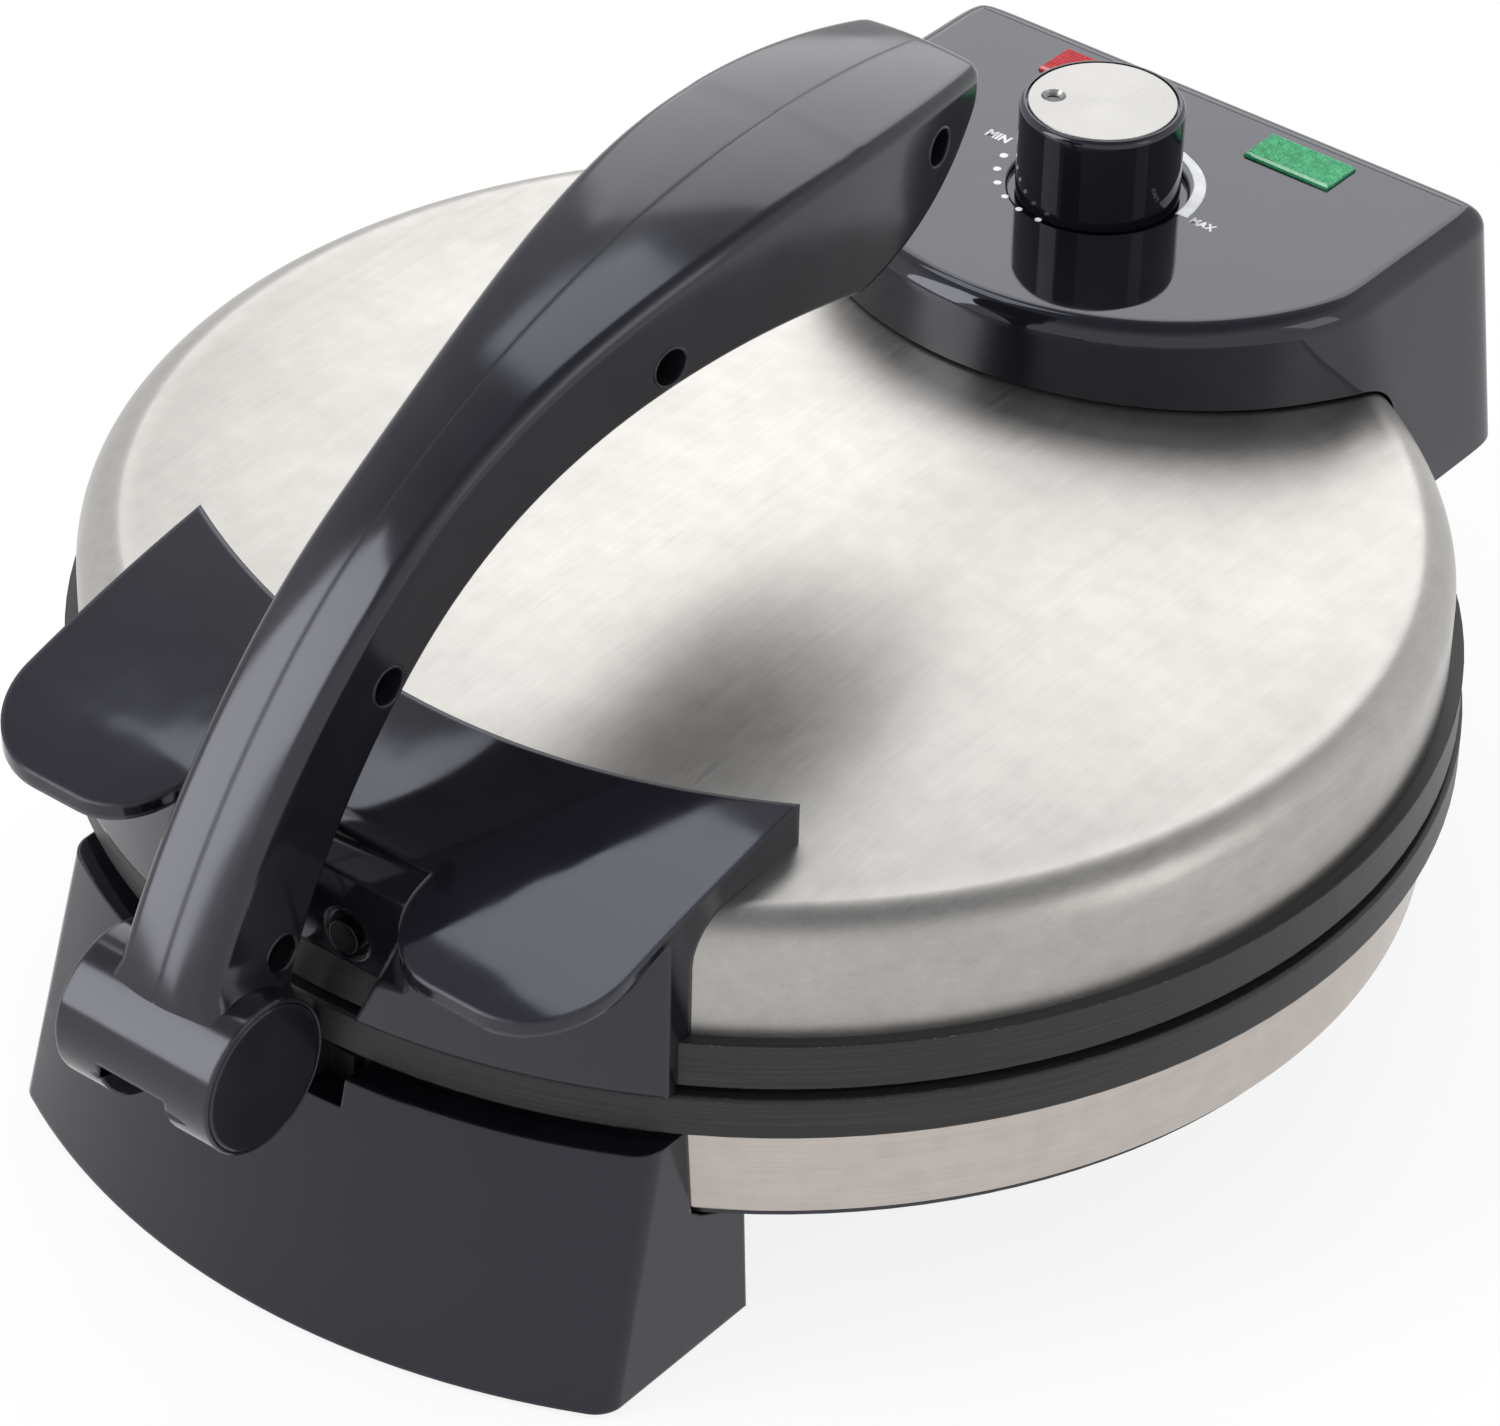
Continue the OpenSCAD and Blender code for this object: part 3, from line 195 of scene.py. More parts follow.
def soft_edges(m, radius):
    """The normal with edges rounded to a radius, and a value that is 1 on edges."""
    sharp_dot, flat_dot = 0.75, 0.99
    normal = add(m, "ShaderNodeBevel", samples=6, Radius=radius).outputs["Normal"]
    dot = add(m, "ShaderNodeVectorMath", operation="DOT_PRODUCT")
    join(m, normal, dot.inputs[0])
    join(m, add(m, "ShaderNodeNewGeometry").outputs["Normal"], dot.inputs[1])
    return normal, spread(m, dot.outputs["Value"], sharp_dot, flat_dot, 1.0, 0.0)


# The tint of the black plastics' gloss, slightly blue as the room's light is in it
gloss_tint = (0.87, 0.885, 1.0)


def plastic(name, dark, light, rough_low, rough_high, edge_radius=0.0008, ior=1.55, grain=0.0):
    """Moulded plastic: faint flow waves, smears in the gloss, fine dust, rougher edges, and a painted
    highlight that lightens every edge.
    """
    smear_low, smear_light, smear_rough = 0.35, 0.7, 0.75
    dust_low, dust_high, dust_rough, dust_height = 0.72, 0.8, 0.1, 0.006
    # Painted highlight along every edge: the colour there goes towards a multiple of the light tone; the
    # edges are also made rougher.
    edge_highlight_gain, edge_highlight_share, rubbed_rough = 3, 0.3, 0.06
    m = new_material(name, dark, rough_low, ior=ior)
    place = place_of(m)
    normal, edge = soft_edges(m, edge_radius)
    waves = noise(m, place, scale=28.0, detail=2.0)
    smears = noise(m, place, scale=42.0, detail=4.0)
    dust = noise(m, place, scale=2600.0, detail=1.0)
    color = mix_color(m, spread(m, smears, smear_low, smear_light), dark, light)
    # Painted highlight: every edge is lightened towards a multiple of the light tone.
    color = mix_color(m, scaled(m, edge, edge_highlight_share), color, times(light, edge_highlight_gain))
    rough = added(m, spread(m, smears, smear_low, smear_rough, rough_low, rough_high),
                  spread(m, dust, dust_low, dust_high, 0.0, dust_rough), scaled(m, edge, rubbed_rough))
    height = added(m, waves, scaled(m, dust, dust_height + grain))
    normal = bump(m, height, distance=0.0003, strength=0.5, normal=normal)
    return feed_shader(m, Base_Color=color, Roughness=rough, Normal=normal, Specular_Tint=gloss_tint)


def brushed(name, color, rough_low, rough_high, stretch, aniso, uv=True, contrast=0.05):
    """Brushed sheet: fine lines along one way, with cloudy differences in the gloss."""
    wide_stretch, rough_step = 0.22, 0.03
    line_share, wide_share, blotch_share = 0.45, 0.2, 0.35
    m = new_material(name, color, rough_low, metal=1.0)
    lines = noise(m, place_of(m, stretch), scale=1.0, detail=4.0, rough=0.6)
    wide = noise(m, place_of(m, tuple(s * wide_stretch for s in stretch)), scale=1.0, detail=2.0)
    clouds = noise(m, place_of(m), scale=14.0)
    blotches = noise(m, place_of(m), scale=160.0)
    tone = added(m, scaled(m, lines, line_share), scaled(m, wide, wide_share),
                 scaled(m, blotches, blotch_share))
    base = mix_color(m, spread(m, tone, *usual), times(color, 1 - contrast), times(color, 1 + contrast))
    rough = added(m, spread(m, clouds, *usual, rough_low, rough_high),
                  spread(m, lines, *usual, -rough_step, rough_step))
    if uv:
        t = add(m, "ShaderNodeTangent", direction_type="UV_MAP", uv_map="brush")
        feed_shader(m, Tangent=t.outputs["Tangent"])
    normal = bump(m, lines, distance=0.00002, strength=0.4)
    return feed_shader(m, Base_Color=base, Roughness=rough, Normal=normal, Anisotropic=aniso)


def rings_round_axis(m, around, across):
    """The point measured from the plates' axis: along x, out from the axis, and in height."""
    to_axis = (0, -axis_y, 0)
    parts = add(m, "ShaderNodeSeparateXYZ", Vector=place_of(m, shift=to_axis))
    out = add(m, "ShaderNodeVectorMath", operation="LENGTH")
    join(m, place_of(m, (1, 1, 0), to_axis), out.inputs[0])
    rings = add(m, "ShaderNodeCombineXYZ", X=scaled(m, parts.outputs["X"], around),
                Y=scaled(m, out.outputs["Value"], across), Z=scaled(m, parts.outputs["Z"], across))
    return rings.outputs["Vector"]


def coated_plate(name, color, rough, contrast):
    """A coated, turned face: marks round the plates' axis, and edges chipped to the metal."""
    bare_metal = (0.16, 0.155, 0.15)
    mark_low, mark_high = 0.42, 0.72
    chip_low, chip_high, least_worn, most_worn = 0.58, 0.66, 0.05, 0.8
    m = new_material(name, color, rough, ior=1.4)
    marks = noise(m, rings_round_axis(m, around=22.0, across=1700.0), scale=1.0, detail=4.0, rough=0.65)
    normal, edge = soft_edges(m, 0.0006)
    chips = noise(m, place_of(m), scale=900.0, detail=2.0)
    base = mix_color(m, spread(m, marks, mark_low, mark_high), color, times(color, contrast))
    worn = math_node(m, "MULTIPLY", edge, spread(m, chips, chip_low, chip_high, least_worn, most_worn))
    base = mix_color(m, worn, base, bare_metal)
    varied = spread(m, marks, *usual, rough - 0.05, rough + 0.08)
    normal = bump(m, marks, distance=0.00012, strength=0.6, normal=normal)
    return feed_shader(m, Base_Color=base, Roughness=varied, Normal=normal)


def clear_plastic(name, color, deep):
    """A coloured lens: deeper and lighter spots in the plastic, and a clear coat."""
    tone_low, tone_high, rough_low, rough_high = 0.42, 0.6, 0.08, 0.2
    m = new_material(name, color, rough_low)
    spots = noise(m, place_of(m), scale=620.0, detail=2.0)
    facets = noise(m, place_of(m), scale=1900.0, detail=1.0)
    tone = added(m, scaled(m, spots, 0.5), scaled(m, facets, 0.5))
    base = mix_color(m, spread(m, tone, tone_low, tone_high), deep, color)
    rough = spread(m, spots, *usual, rough_low, rough_high)
    normal = bump(m, facets, distance=0.0001, strength=0.25)
    return feed_shader(m, Base_Color=base, Roughness=rough, Normal=normal, Coat_Weight=0.5,
                       Coat_Roughness=0.05)


def plain(name, color, rough, metal=0.0):
    """A small hidden or plain piece: blotchy colour and a fine grain."""
    m = new_material(name, color, rough, metal=metal)
    spots = noise(m, place_of(m), scale=260.0, detail=4.0)
    base = mix_color(m, spread(m, spots, *usual), times(color, 0.8), times(color, 1.12))
    varied = spread(m, spots, *usual, rough - 0.06, rough + 0.08)
    normal = bump(m, spots, distance=0.0001, strength=0.3, normal=soft_edges(m, 0.0004)[0])
    return feed_shader(m, Base_Color=base, Roughness=varied, Normal=normal)


# Plastics: dark and light tone, least and most roughness, and the radius of their soft edges
black = plastic("black_gloss_mat", (0.006, 0.006, 0.0085), (0.0085, 0.0085, 0.0115), 0.03, 0.075, 0.0002)
black_foot = plastic("black_foot_mat", (0.004, 0.0042, 0.007), (0.006, 0.0062, 0.009), 0.06, 0.12, ior=1.5)
black_soft = plastic("black_lever_mat", (0.0075, 0.0075, 0.0095), (0.011, 0.011, 0.014), 0.1, 0.18, 0.0012)
black_wing = plastic("black_wing_mat", (0.0065, 0.0065, 0.0095), (0.0085, 0.0085, 0.012), 0.05, 0.11,
                     0.0014)
black_matte = plastic("black_matte_mat", (0.014, 0.014, 0.015), (0.02, 0.02, 0.021), 0.42, 0.55, grain=0.3)

# Brushed metals: colour, least and most roughness, noise per metre on each axis, anisotropy
lid_steel = brushed("brushed_lid_mat", (0.415, 0.40, 0.382), 0.31, 0.39, (2400, 50, 2400), 0.5,
                    contrast=0.13)
skirt_steel = brushed("brushed_skirt_mat", (0.50, 0.455, 0.42), 0.27, 0.34, (50, 50, 2400), 0.4,
                      contrast=0.12)
disc_metal = brushed("spun_disc_mat", (0.30, 0.295, 0.288), 0.26, 0.32, (5000, 400, 5000), 0.3, uv=False)

# The plates' coating: colour, roughness, and how much lighter its marks are
plate_coat = coated_plate("coated_plate_mat", (0.012, 0.0118, 0.0125), 0.42, contrast=2.4)

# Plain pieces: colour, roughness and how metallic
element_metal = plain("element_mat", (0.12, 0.115, 0.11), 0.5, 0.9)
shield_metal = plain("shield_mat", (0.6, 0.6, 0.59), 0.38, 1.0)
insulation = plain("insulator_mat", (0.7, 0.66, 0.56), 0.6)
zinc = plain("zinc_mat", (0.5, 0.49, 0.46), 0.32, 1.0)
dark_steel = plain("black_steel_mat", (0.014, 0.014, 0.015), 0.32)
# Painted shade: the screws deep in the lever's holes and at the bottom of the bracket's recesses are
# coloured dark.
shade_dark_screw = plain("dark_screw_mat", (0.05, 0.05, 0.052), 0.35, 1.0)
rubber = plain("rubber_mat", (0.016, 0.016, 0.016), 0.75)
brass = plain("brass_mat", (0.6, 0.42, 0.16), 0.3, 1.0)
print_white = plain("print_mat", (0.84, 0.85, 0.87), 0.45)

# Lenses: their light and their deep tone
red = clear_plastic("red_lens_mat", (0.58, 0.03, 0.045), (0.40, 0.012, 0.02))
green = clear_plastic("green_lens_mat", (0.07, 0.47, 0.20), (0.03, 0.29, 0.12))

dressed_nodes = [
    (black, "control_housing knob"),
    (black_foot, "front_foot rear_foot"),
    (black_soft, "barrel_caps lever_left_shell lever_right_shell"),
    (black_wing, "lid_bracket"),
    (black_matte, "bottom_pan housing_underside cord_gland"),
    (skirt_steel, "base_skirt"),
    (lid_steel, "lid_cover"),
    (disc_metal, "knob_disc"),
    (plate_coat, "lower_plate upper_plate"),
    (element_metal, "lower_element upper_element"),
    (shield_metal, "lower_heat_shield upper_heat_shield"),
    (insulation, "lower_thermal_fuse upper_thermal_fuse terminal_block thermostat indicator_lamps"),
    (zinc, "base_screws housing_screws lever_bracket_bolts lever_pin hinge_pins thermostat_shaft"),
    (dark_steel, "lever_bracket"),
    # Screws coloured dark: painted shade of the holes and recesses they sit in.
    (shade_dark_screw, "lid_bracket_screws lever_screws"),
    (rubber, "rubber_feet"),
    (brass, "pivot_bushes"),
    (red, "red_lens"),
    (green, "green_lens"),
]


def dress_nodes():
    """Gives each CAD node its material; a node that is replaced has one too."""
    for material, names in dressed_nodes:
        for slots in [nodes[name].data.materials for name in names.split()]:
            if slots:
                for i in range(len(slots)):
                    slots[i] = material
            else:
                slots.append(material)


# Meshes

def weld(obj, reach=1e-6):
    """Merges points closer than reach, and turns the faces outwards."""
    clean = bmesh.new()
    clean.from_mesh(obj.data)
    if reach > 0:
        bmesh.ops.remove_doubles(clean, verts=clean.verts, dist=reach)
    bmesh.ops.recalc_face_normals(clean, faces=clean.faces)
    clean.to_mesh(obj.data)
    clean.free()
    obj.data.update()


def placed(name, data):
    """A new object in the scene that shows a mesh, curve, lamp or camera."""
    obj = bpy.data.objects.new(name, data)
    bpy.context.scene.collection.objects.link(obj)
    return obj


def new_object(name, verts, faces):
    mesh = bpy.data.meshes.new(name)
    mesh.from_pydata([tuple(v) for v in verts], [], faces)
    mesh.validate()
    obj = placed(name, mesh)
    weld(obj, 0)
    return obj


def new_piece(name, verts, faces, body, slot, material, smooth=True, sharp=40.0):
    """A visible piece with a material, riding on a body."""
    obj = new_object(name, verts, faces)
    obj.data.materials.append(material)
    if smooth:
        shade(obj, sharp)
    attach(obj, body)
    return obj


def shade(obj, sharp):
    """Smooth shading, broken at edges sharper than the angle in degrees."""
    mesh = obj.data
    mesh.polygons.foreach_set("use_smooth", [True] * len(mesh.polygons))
    mesh.set_sharp_from_angle(angle=math.radians(sharp))


def bridge(rings, count, gaps, spans):
    """Faces between rings of count points: gaps from ring to ring, and spans along each ring."""
    faces = []
    for i in range(gaps):
        a, b = i * count, (i + 1) % rings * count
        for k in range(spans):
            n = (k + 1) % count
            faces.append((a + k, a + n, b + n, b + k))
    return faces


def revolve(outline, steps, centre, closed=False):
    """Verts and faces of an outline of (radius, height) turned round an upright axis."""
    verts = []
    for a in [2 * math.pi * i / steps for i in range(steps)]:
        verts += [(centre.x + r * math.cos(a), centre.y + r * math.sin(a), z) for r, z in outline]
    count = len(outline)
    return verts, bridge(steps, count, steps, count if closed else count - 1)


def arc(centre, radius, start, end, steps):
    """Points on an arc, in degrees, ends included."""
    angles = [math.radians(start + (end - start) * i / steps) for i in range(steps + 1)]
    return [(centre[0] + radius * math.cos(a), centre[1] + radius * math.sin(a)) for a in angles]


def quarter(step):
    """The angles from 0 to 90 degrees in even steps, in radians."""
    return [math.radians(q) for q in range(0, 91, step)]


def heading(degrees):
    """The unit vector at an angle in a plane."""
    return Vector((math.cos(math.radians(degrees)), math.sin(math.radians(degrees))))


def shown_mesh(obj):
    """A new mesh of what the object shows, with its modifiers applied."""
    bpy.context.view_layer.update()
    return bpy.data.meshes.new_from_object(obj.evaluated_get(bpy.context.evaluated_depsgraph_get()))


def apply_modifiers(obj):
    old, made = obj.data, shown_mesh(obj)
    obj.modifiers.clear()
    obj.data = made
    bpy.data.meshes.remove(old)


def cut_away(obj, cutter):
    """Takes the cutter's solid out of the object, and removes the cutter."""
    mod = obj.modifiers.new("cut", "BOOLEAN")
    mod.operation = "DIFFERENCE"
    mod.solver = "EXACT"
    mod.object = cutter
    apply_modifiers(obj)
    bpy.data.objects.remove(cutter)


def tool(verts, faces, welded=False):
    """A closed mesh to cut with."""
    obj = new_object("tool", verts, faces)
    if welded:
        weld(obj)
    return obj


def axes_along(direction):
    """Three unit vectors at right angles, the first along a direction."""
    along = direction.normalized()
    side = along.orthogonal().normalized()
    return along, side, along.cross(side)


def rod(start, direction, radius, length, steps=48):
    """A closed cylinder as verts and faces."""
    along, side, other = axes_along(direction)
    turns = [2 * math.pi * i / steps for i in range(steps)]
    return loft([[start + along * end + side * radius * math.cos(a) + other * radius * math.sin(a)
                  for a in turns] for end in (0, length)])


def ring_of(centre, direction, radius, thick, steps=48, tube=10):
    """A thin torus as verts and faces."""
    along, side, other = axes_along(direction)
    turns = [2 * math.pi * k / tube for k in range(tube)]
    section = [(radius + thick * math.cos(t), thick * math.sin(t)) for t in turns]
    verts, faces = revolve(section, steps, Vector((0, 0, 0)), closed=True)
    return [centre + side * x + other * y + along * z for x, y, z in verts], faces


def loft(rings):
    """Verts and faces of closed rings joined one to the next, closed at both ends."""
    count = len(rings[0])
    verts = [p for ring in rings for p in ring]
    caps = [tuple(range(count))[::-1], tuple(range(len(verts) - count, len(verts)))]
    return verts, bridge(len(rings), count, len(rings) - 1, count) + caps


def finish_shape(obj, sharp):
    """Smooth shading in which the large faces stay even."""
    shade(obj, sharp)
    mod = obj.modifiers.new("even", "WEIGHTED_NORMAL")
    mod.keep_sharp = True
    apply_modifiers(obj)


# Steps round the large rounds, round the barrel and knob, and round the smaller turned forms
round_steps, knob_steps, small_steps = 256, 160, 128

# Lid: the steel cover as one finely turned sheet
lid_radius = (cover_high.x - cover_low.x) / 2
lid_top_z = cover_high.z
sheet = 0.0008
shoulder = 0.010
dome_rise = 0.0065
shoulder_z = lid_top_z - dome_rise - shoulder
flat_radius = lid_radius - shoulder
ball = (flat_radius ** 2 + dome_rise ** 2) / (2 * dome_rise)
wall_steps, bend_steps, dome_steps = 4, 24, 40


def dome_height(r):
    """The dome's height at a distance from the axis: a ball's cap."""
    return lid_top_z - ball + math.sqrt(ball ** 2 - r ** 2)


def lid_outline(inset):
    """The lid's half section from the rim to near the axis, moved inwards by inset."""
    side = [(lid_radius - inset, cover_low.z + (shoulder_z - cover_low.z) * t / wall_steps)
            for t in range(wall_steps)]
    bend = arc((flat_radius, shoulder_z), shoulder - inset, 0, 90, bend_steps)
    runs = [flat_radius * t / dome_steps for t in range(dome_steps - 1, 0, -1)]
    return side + bend + [(r, dome_height(r) - inset) for r in runs]


def add_brush_map(obj, place):
    """A map whose first way is the way of the brushing."""
    layer = obj.data.uv_layers.new(name="brush")
    for loop in obj.data.loops:
        layer.data[loop.index].uv = place(obj.data.vertices[loop.vertex_index].co)


def lid_brushing(p):
    """From front to back over the lid, and hardly rising on its wall."""
    scale, rise = 3, 0.2
    return scale * p.y + rise * p.z, scale * p.x + p.z


def skirt_brushing(p):
    """Along the band."""
    scale = 3
    return math.atan2(abs(p.x), axis_y - p.y), scale * p.z


def make_lid_cover():
    outer, inner = lid_outline(0), lid_outline(sheet)
    outline = outer + inner[::-1]
    verts, faces = revolve(outline, round_steps, at(0, 0, 0))
    count = len(outline)
    tops, unders = len(outer) - 1, len(outer)
    faces = [f for f in faces if not {v % count for v in f} == {tops, unders}]
    verts += [at(0, 0, lid_top_z), at(0, 0, lid_top_z - sheet)]
    top, under = len(verts) - 2, len(verts) - 1
    for i in range(round_steps):
        j = (i + 1) % round_steps
        faces.append((i * count + tops, j * count + tops, top))
        faces.append((j * count + unders, i * count + unders, under))
        faces.append((i * count, i * count + count - 1, j * count + count - 1, j * count))
    cover = new_piece("lid_cover_sheet", verts, faces, "lid", "brushed_lid_steel", lid_steel)
    add_brush_map(cover, lid_brushing)
    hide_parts("lid_cover")


# Lever: a lofted bar with rounded edges, a seam along its middle and sunk screw holes.
# Points of its side view are (depth, height) from the plates' axis. Its outer edge follows the
# outer and the grip's circle, its inner edge the inner circle and, under the tip, the belly's.
outer_centre = Vector((-0.0102, 0.0103))
outer_radius = 0.1914
grip_centre = Vector((0.0024, -0.0378))
grip_radius = 0.238
inner_centre = Vector((-0.0341, 0.0378))
inner_radius = 0.1326
belly_centre = Vector((-0.0075, 0.2369))
belly_radius = 0.0715
ray_centre = Vector((-0.002, 0.025))
barrel_centre = Vector((pivot.y - axis_y, pivot.z))
barrel_radius = 0.0163
top_blend = 0.0008
widest_y, slim_y, tip_y = -0.006, -0.120, 0.048
half_low, half_grip, narrowing = 0.0116, 0.0220, 0.072
under_tip_y, under_tip_z, under_tip_rise = 0.043, 0.1863, 0.6
tip_corner, tip_edge, tip_low_edge = 0.0045, 0.0035, 0.0012
side_edge, inner_edge, top_crown = 0.0030, 0.0020, 0.0008
edge_share, inner_share, crown_wide, crown_thick, groove_share = 0.42, 0.3, 0.04, 0.1, 0.05
seam_half, seam_deep = 0.00020, 0.0002
fillet_right, fillet_left = 0.0040, 0.0016
screw_spots = [(0.0270, 0.1867), (-0.0548, 0.1748), (-0.1300, 0.1378), (-0.1613, 0.0928)]
sunk_radius, sunk_floor = 0.0040, 0.005
rim_thick, rim_sink = 0.0004, 0.00015
first_ray, last_ray, ray_steps, tip_steps = 166.5, 90.0, 64, 40


def lever_half(y):
    """Half of the bar's width at a depth, apart from its roots and its tip's corners."""
    if y > widest_y:
        return half_grip * math.sqrt(1 - ((y - widest_y) / narrowing) ** 2)
    if y > slim_y:
        turn = math.pi / 2 * (widest_y - y) / (widest_y - slim_y)
        return half_low + (half_grip - half_low) * math.cos(turn) ** 2
    return half_low


def rounding(distance, radius):
    """How far a rounded edge has drawn in, at a distance from the end of its straight side."""
    return radius - math.sqrt(max(0.0, radius ** 2 - min(radius, max(0.0, distance)) ** 2))


def root_width(p, radius):
    """The extra width of the bar in the fillet where it meets the barrel."""
    return rounding(radius - ((p - barrel_centre).length - barrel_radius), radius)


def on_circle(start, way, centre, radius):
    """How far a ray runs until it leaves a circle."""
    to = start - centre
    b = to.dot(way)
    return -b + math.sqrt(b * b - to.dot(to) + radius * radius)


def outer_reach(way):
    """The bar's outer edge on a ray: the nearer of two circles, with a soft change between."""
    near = on_circle(ray_centre, way, outer_centre, outer_radius)
    other = on_circle(ray_centre, way, grip_centre, grip_radius)
    least = min(near, other)
    return least - top_blend * math.log(math.exp((least - near) / top_blend)
                                        + math.exp((least - other) / top_blend))


def tip_top(y):
    """The height of the tip's upper edge."""
    top = grip_centre.y + math.sqrt(grip_radius ** 2 - (y - grip_centre.x) ** 2)
    return top - rounding(y - tip_y + tip_edge, tip_edge)


def tip_under(y):
    """The height of the tip's lower edge: the belly's circle, and a straight rise at the end."""
    low = belly_centre.y - math.sqrt(belly_radius ** 2 - (min(y, under_tip_y) - belly_centre.x) ** 2)
    if y > under_tip_y:
        low = under_tip_z + under_tip_rise * (y - under_tip_y)
    return low + rounding(y - tip_y + tip_low_edge, tip_low_edge)


def lever_stations():
    """Pairs of (outer point, inner point) from the barrel to the tip."""
    pairs = []
    for i in range(ray_steps + 1):
        way = heading(first_ray + (last_ray - first_ray) * i / ray_steps)
        pairs.append((ray_centre + way * outer_reach(way),
                      ray_centre + way * on_circle(ray_centre, way, inner_centre, inner_radius)))
    for i in range(1, tip_steps + 1):
        y = ray_centre.x + (tip_y - ray_centre.x) * math.sin(math.pi / 2 * i / tip_steps)
        pairs.append((Vector((y, tip_top(y))), Vector((y, tip_under(y)))))
    return pairs


def bar_half(p, side):
    """Half of the bar's width at a point of its side view, with its root and the tip's corners."""
    width = lever_half(p.x) - rounding(p.x - tip_y + tip_corner, tip_corner)
    return width + root_width(p, fillet_right if side > 0 else fillet_left)


def half_section(outer, way, thick, side):
    """Points (half width, depth) down one side of the bar. Near the thin tip the edges shrink."""
    def half(depth):
        return bar_half(outer + way * depth, side)

    mean = min(half(0), half(thick))
    r_out = min(side_edge, thick * edge_share, mean * edge_share)
    r_in = min(inner_edge, thick * inner_share, mean * inner_share)
    crown = min(top_crown, mean * crown_wide, thick * crown_thick)
    flat = half(0) - r_out
    ring = [(seam_half, min(seam_deep, thick * groove_share) / 6)]
    ring += [(seam_half + (flat - seam_half) * t / 4, crown * (t / 4) ** 2) for t in (1, 2, 3)]
    start, end = crown + r_out, thick - r_in
    for a in quarter(15):
        depth = start - r_out * math.cos(a)
        ring.append((half(depth) - r_out + r_out * math.sin(a), depth))
    for depth in [start + (end - start) * t / 4 for t in (1, 2, 3)]:
        ring.append((half(depth), depth))
    for a in quarter(18):
        depth = end + r_in * math.sin(a)
        ring.append((half(depth) - r_in + r_in * math.cos(a), depth))
    under = half(thick) - r_in
    return ring + [(under * t / 3 + seam_half * (1 - t / 3), thick) for t in (2, 1, 0)]


def lever_section(outer, inner):
    """One closed ring of points round the bar, with rounded edges and the seam's groove."""
    thick = (inner - outer).length
    way = (inner - outer) / thick
    groove = min(seam_deep, thick * groove_share)
    ring = [(0.0, groove)] + half_section(outer, way, thick, 1) + [(0.0, thick - groove)]
    ring += [(-x, depth) for x, depth in half_section(outer, way, thick, -1)[::-1]]
    return [at(x, *(outer + way * depth)) for x, depth in ring]


def make_barrel():
    """The barrel: a round bar whose ends stand past the caps as a rim, rounded on its outside."""
    low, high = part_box("barrel_caps")
    half, cap_radius = (high.x - low.x) / 2, (high.z - low.z) / 2
    lip, sink, play, cut = 0.0006, 0.002, 0.0001, 0.0003
    side = [(0.0, half - sink), (cap_radius + play, half - sink), (cap_radius + play, half - cut),
            (cap_radius + cut, half)]
    side += arc((barrel_radius - lip, half - lip), lip, 90, 0, steps=5)
    profile = side + [(r, -x) for r, x in side[::-1]]
    verts, faces = revolve(profile, knob_steps, Vector((0, 0, 0)))
    turn = Matrix.Rotation(math.pi / 2, 3, "Y")
    verts = [pivot + turn @ Vector(v) for v in verts]
    barrel = new_piece("lever_barrel", verts, faces, "lever", "black_gloss", black_soft)
    weld(barrel)
    return barrel


def make_lever():
    rings = [lever_section(o, i) for o, i in lever_stations()]
    bar = new_piece("lever_bar", *loft(rings), "lever", "black_gloss", black_soft)
    barrel = make_barrel()
    cut_slot(barrel)
    cut_slot(bar)
    for i, (y, z) in enumerate(screw_spots):
        sink_screw(bar, "lever_hole_rim_%d" % i, y, z)
    finish_shape(bar, sharp=35)
    finish_shape(barrel, sharp=40)
    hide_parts("lever_left_shell", "lever_right_shell")


def sink_screw(bar, name, y, z):
    """A sunk hole in the bar's right side, and the raised rim round it."""
    past, step = 0.04, 0.001
    cut_away(bar, tool(*rod(at(sunk_floor, y, z), rightwards, sunk_radius, past)))
    slope = (lever_half(y + step) - lever_half(y - step)) / (2 * step)
    rim = at(lever_half(y) - rim_sink, y, z)
    ring = ring_of(rim, Vector((1, -slope, 0)), sunk_radius + rim_thick / 2, rim_thick)
    new_piece(name, *ring, "lever", "black_gloss", black_soft)


def cut_slot(piece):
    """The slot that lets the barrel swing past the bracket's ears, and the bushes' bore."""
    neck, swing, steps = -25.0, 130.0, 8
    room, reach, bulge, half_width, bore = 0.0055, 0.0326, 1.2, 0.0085, 0.0095
    last = neck - swing
    outline = [Vector((0, 0)), room * heading(neck + 90)]
    outline.append(outline[-1] + reach * heading(neck))
    outline += [bulge * reach * heading(neck - i * swing / steps) for i in range(1, steps)]
    outline += [room * heading(last - 90) + reach * heading(last), room * heading(last - 90)]
    rings = [[pivot + Vector((x, p.x, p.y)) for p in outline] for x in (-half_width, half_width)]
    cut_away(piece, tool(*loft(rings)))
    cut_away(piece, tool(*rod(pivot - half_width * rightwards, rightwards, bore, 2 * half_width)))


def make_skirt():
    """The steel band round the base: a sheet with a rolled lower edge."""
    low_corner, high_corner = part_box("base_skirt")
    radius = (high_corner.x - low_corner.x) / 2
    roll, turned_in, steps = 0.0012, 0.008, 6
    low, high = low_corner.z, high_corner.z
    outline = [(radius, high - (high - low - roll) * t / steps) for t in range(steps + 1)]
    outline += arc((radius - roll, low + roll), roll, 0, -90, steps)[1:]
    outline += [(radius - turned_in, low), (radius - turned_in, low + sheet),
                (radius - sheet - roll, low + sheet), (radius - sheet, low + sheet + roll),
                (radius - sheet, high)]
    skirt = new_piece("base_skirt_sheet", *revolve(outline, round_steps, at(0, 0, 0), closed=True), "base",
                      "brushed_lid_steel", skirt_steel, sharp=50)
    add_brush_map(skirt, skirt_brushing)
    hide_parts("base_skirt")


# Feet: the CAD's feet with their upright corners rounded. Radius and half width at the counter
# and at foot_top
foot_top = 0.056
foot_low_radius, foot_high_radius = 0.1639, 0.1493
foot_low_half, foot_high_half = 0.0783, 0.0757
foot_corner = 0.0070


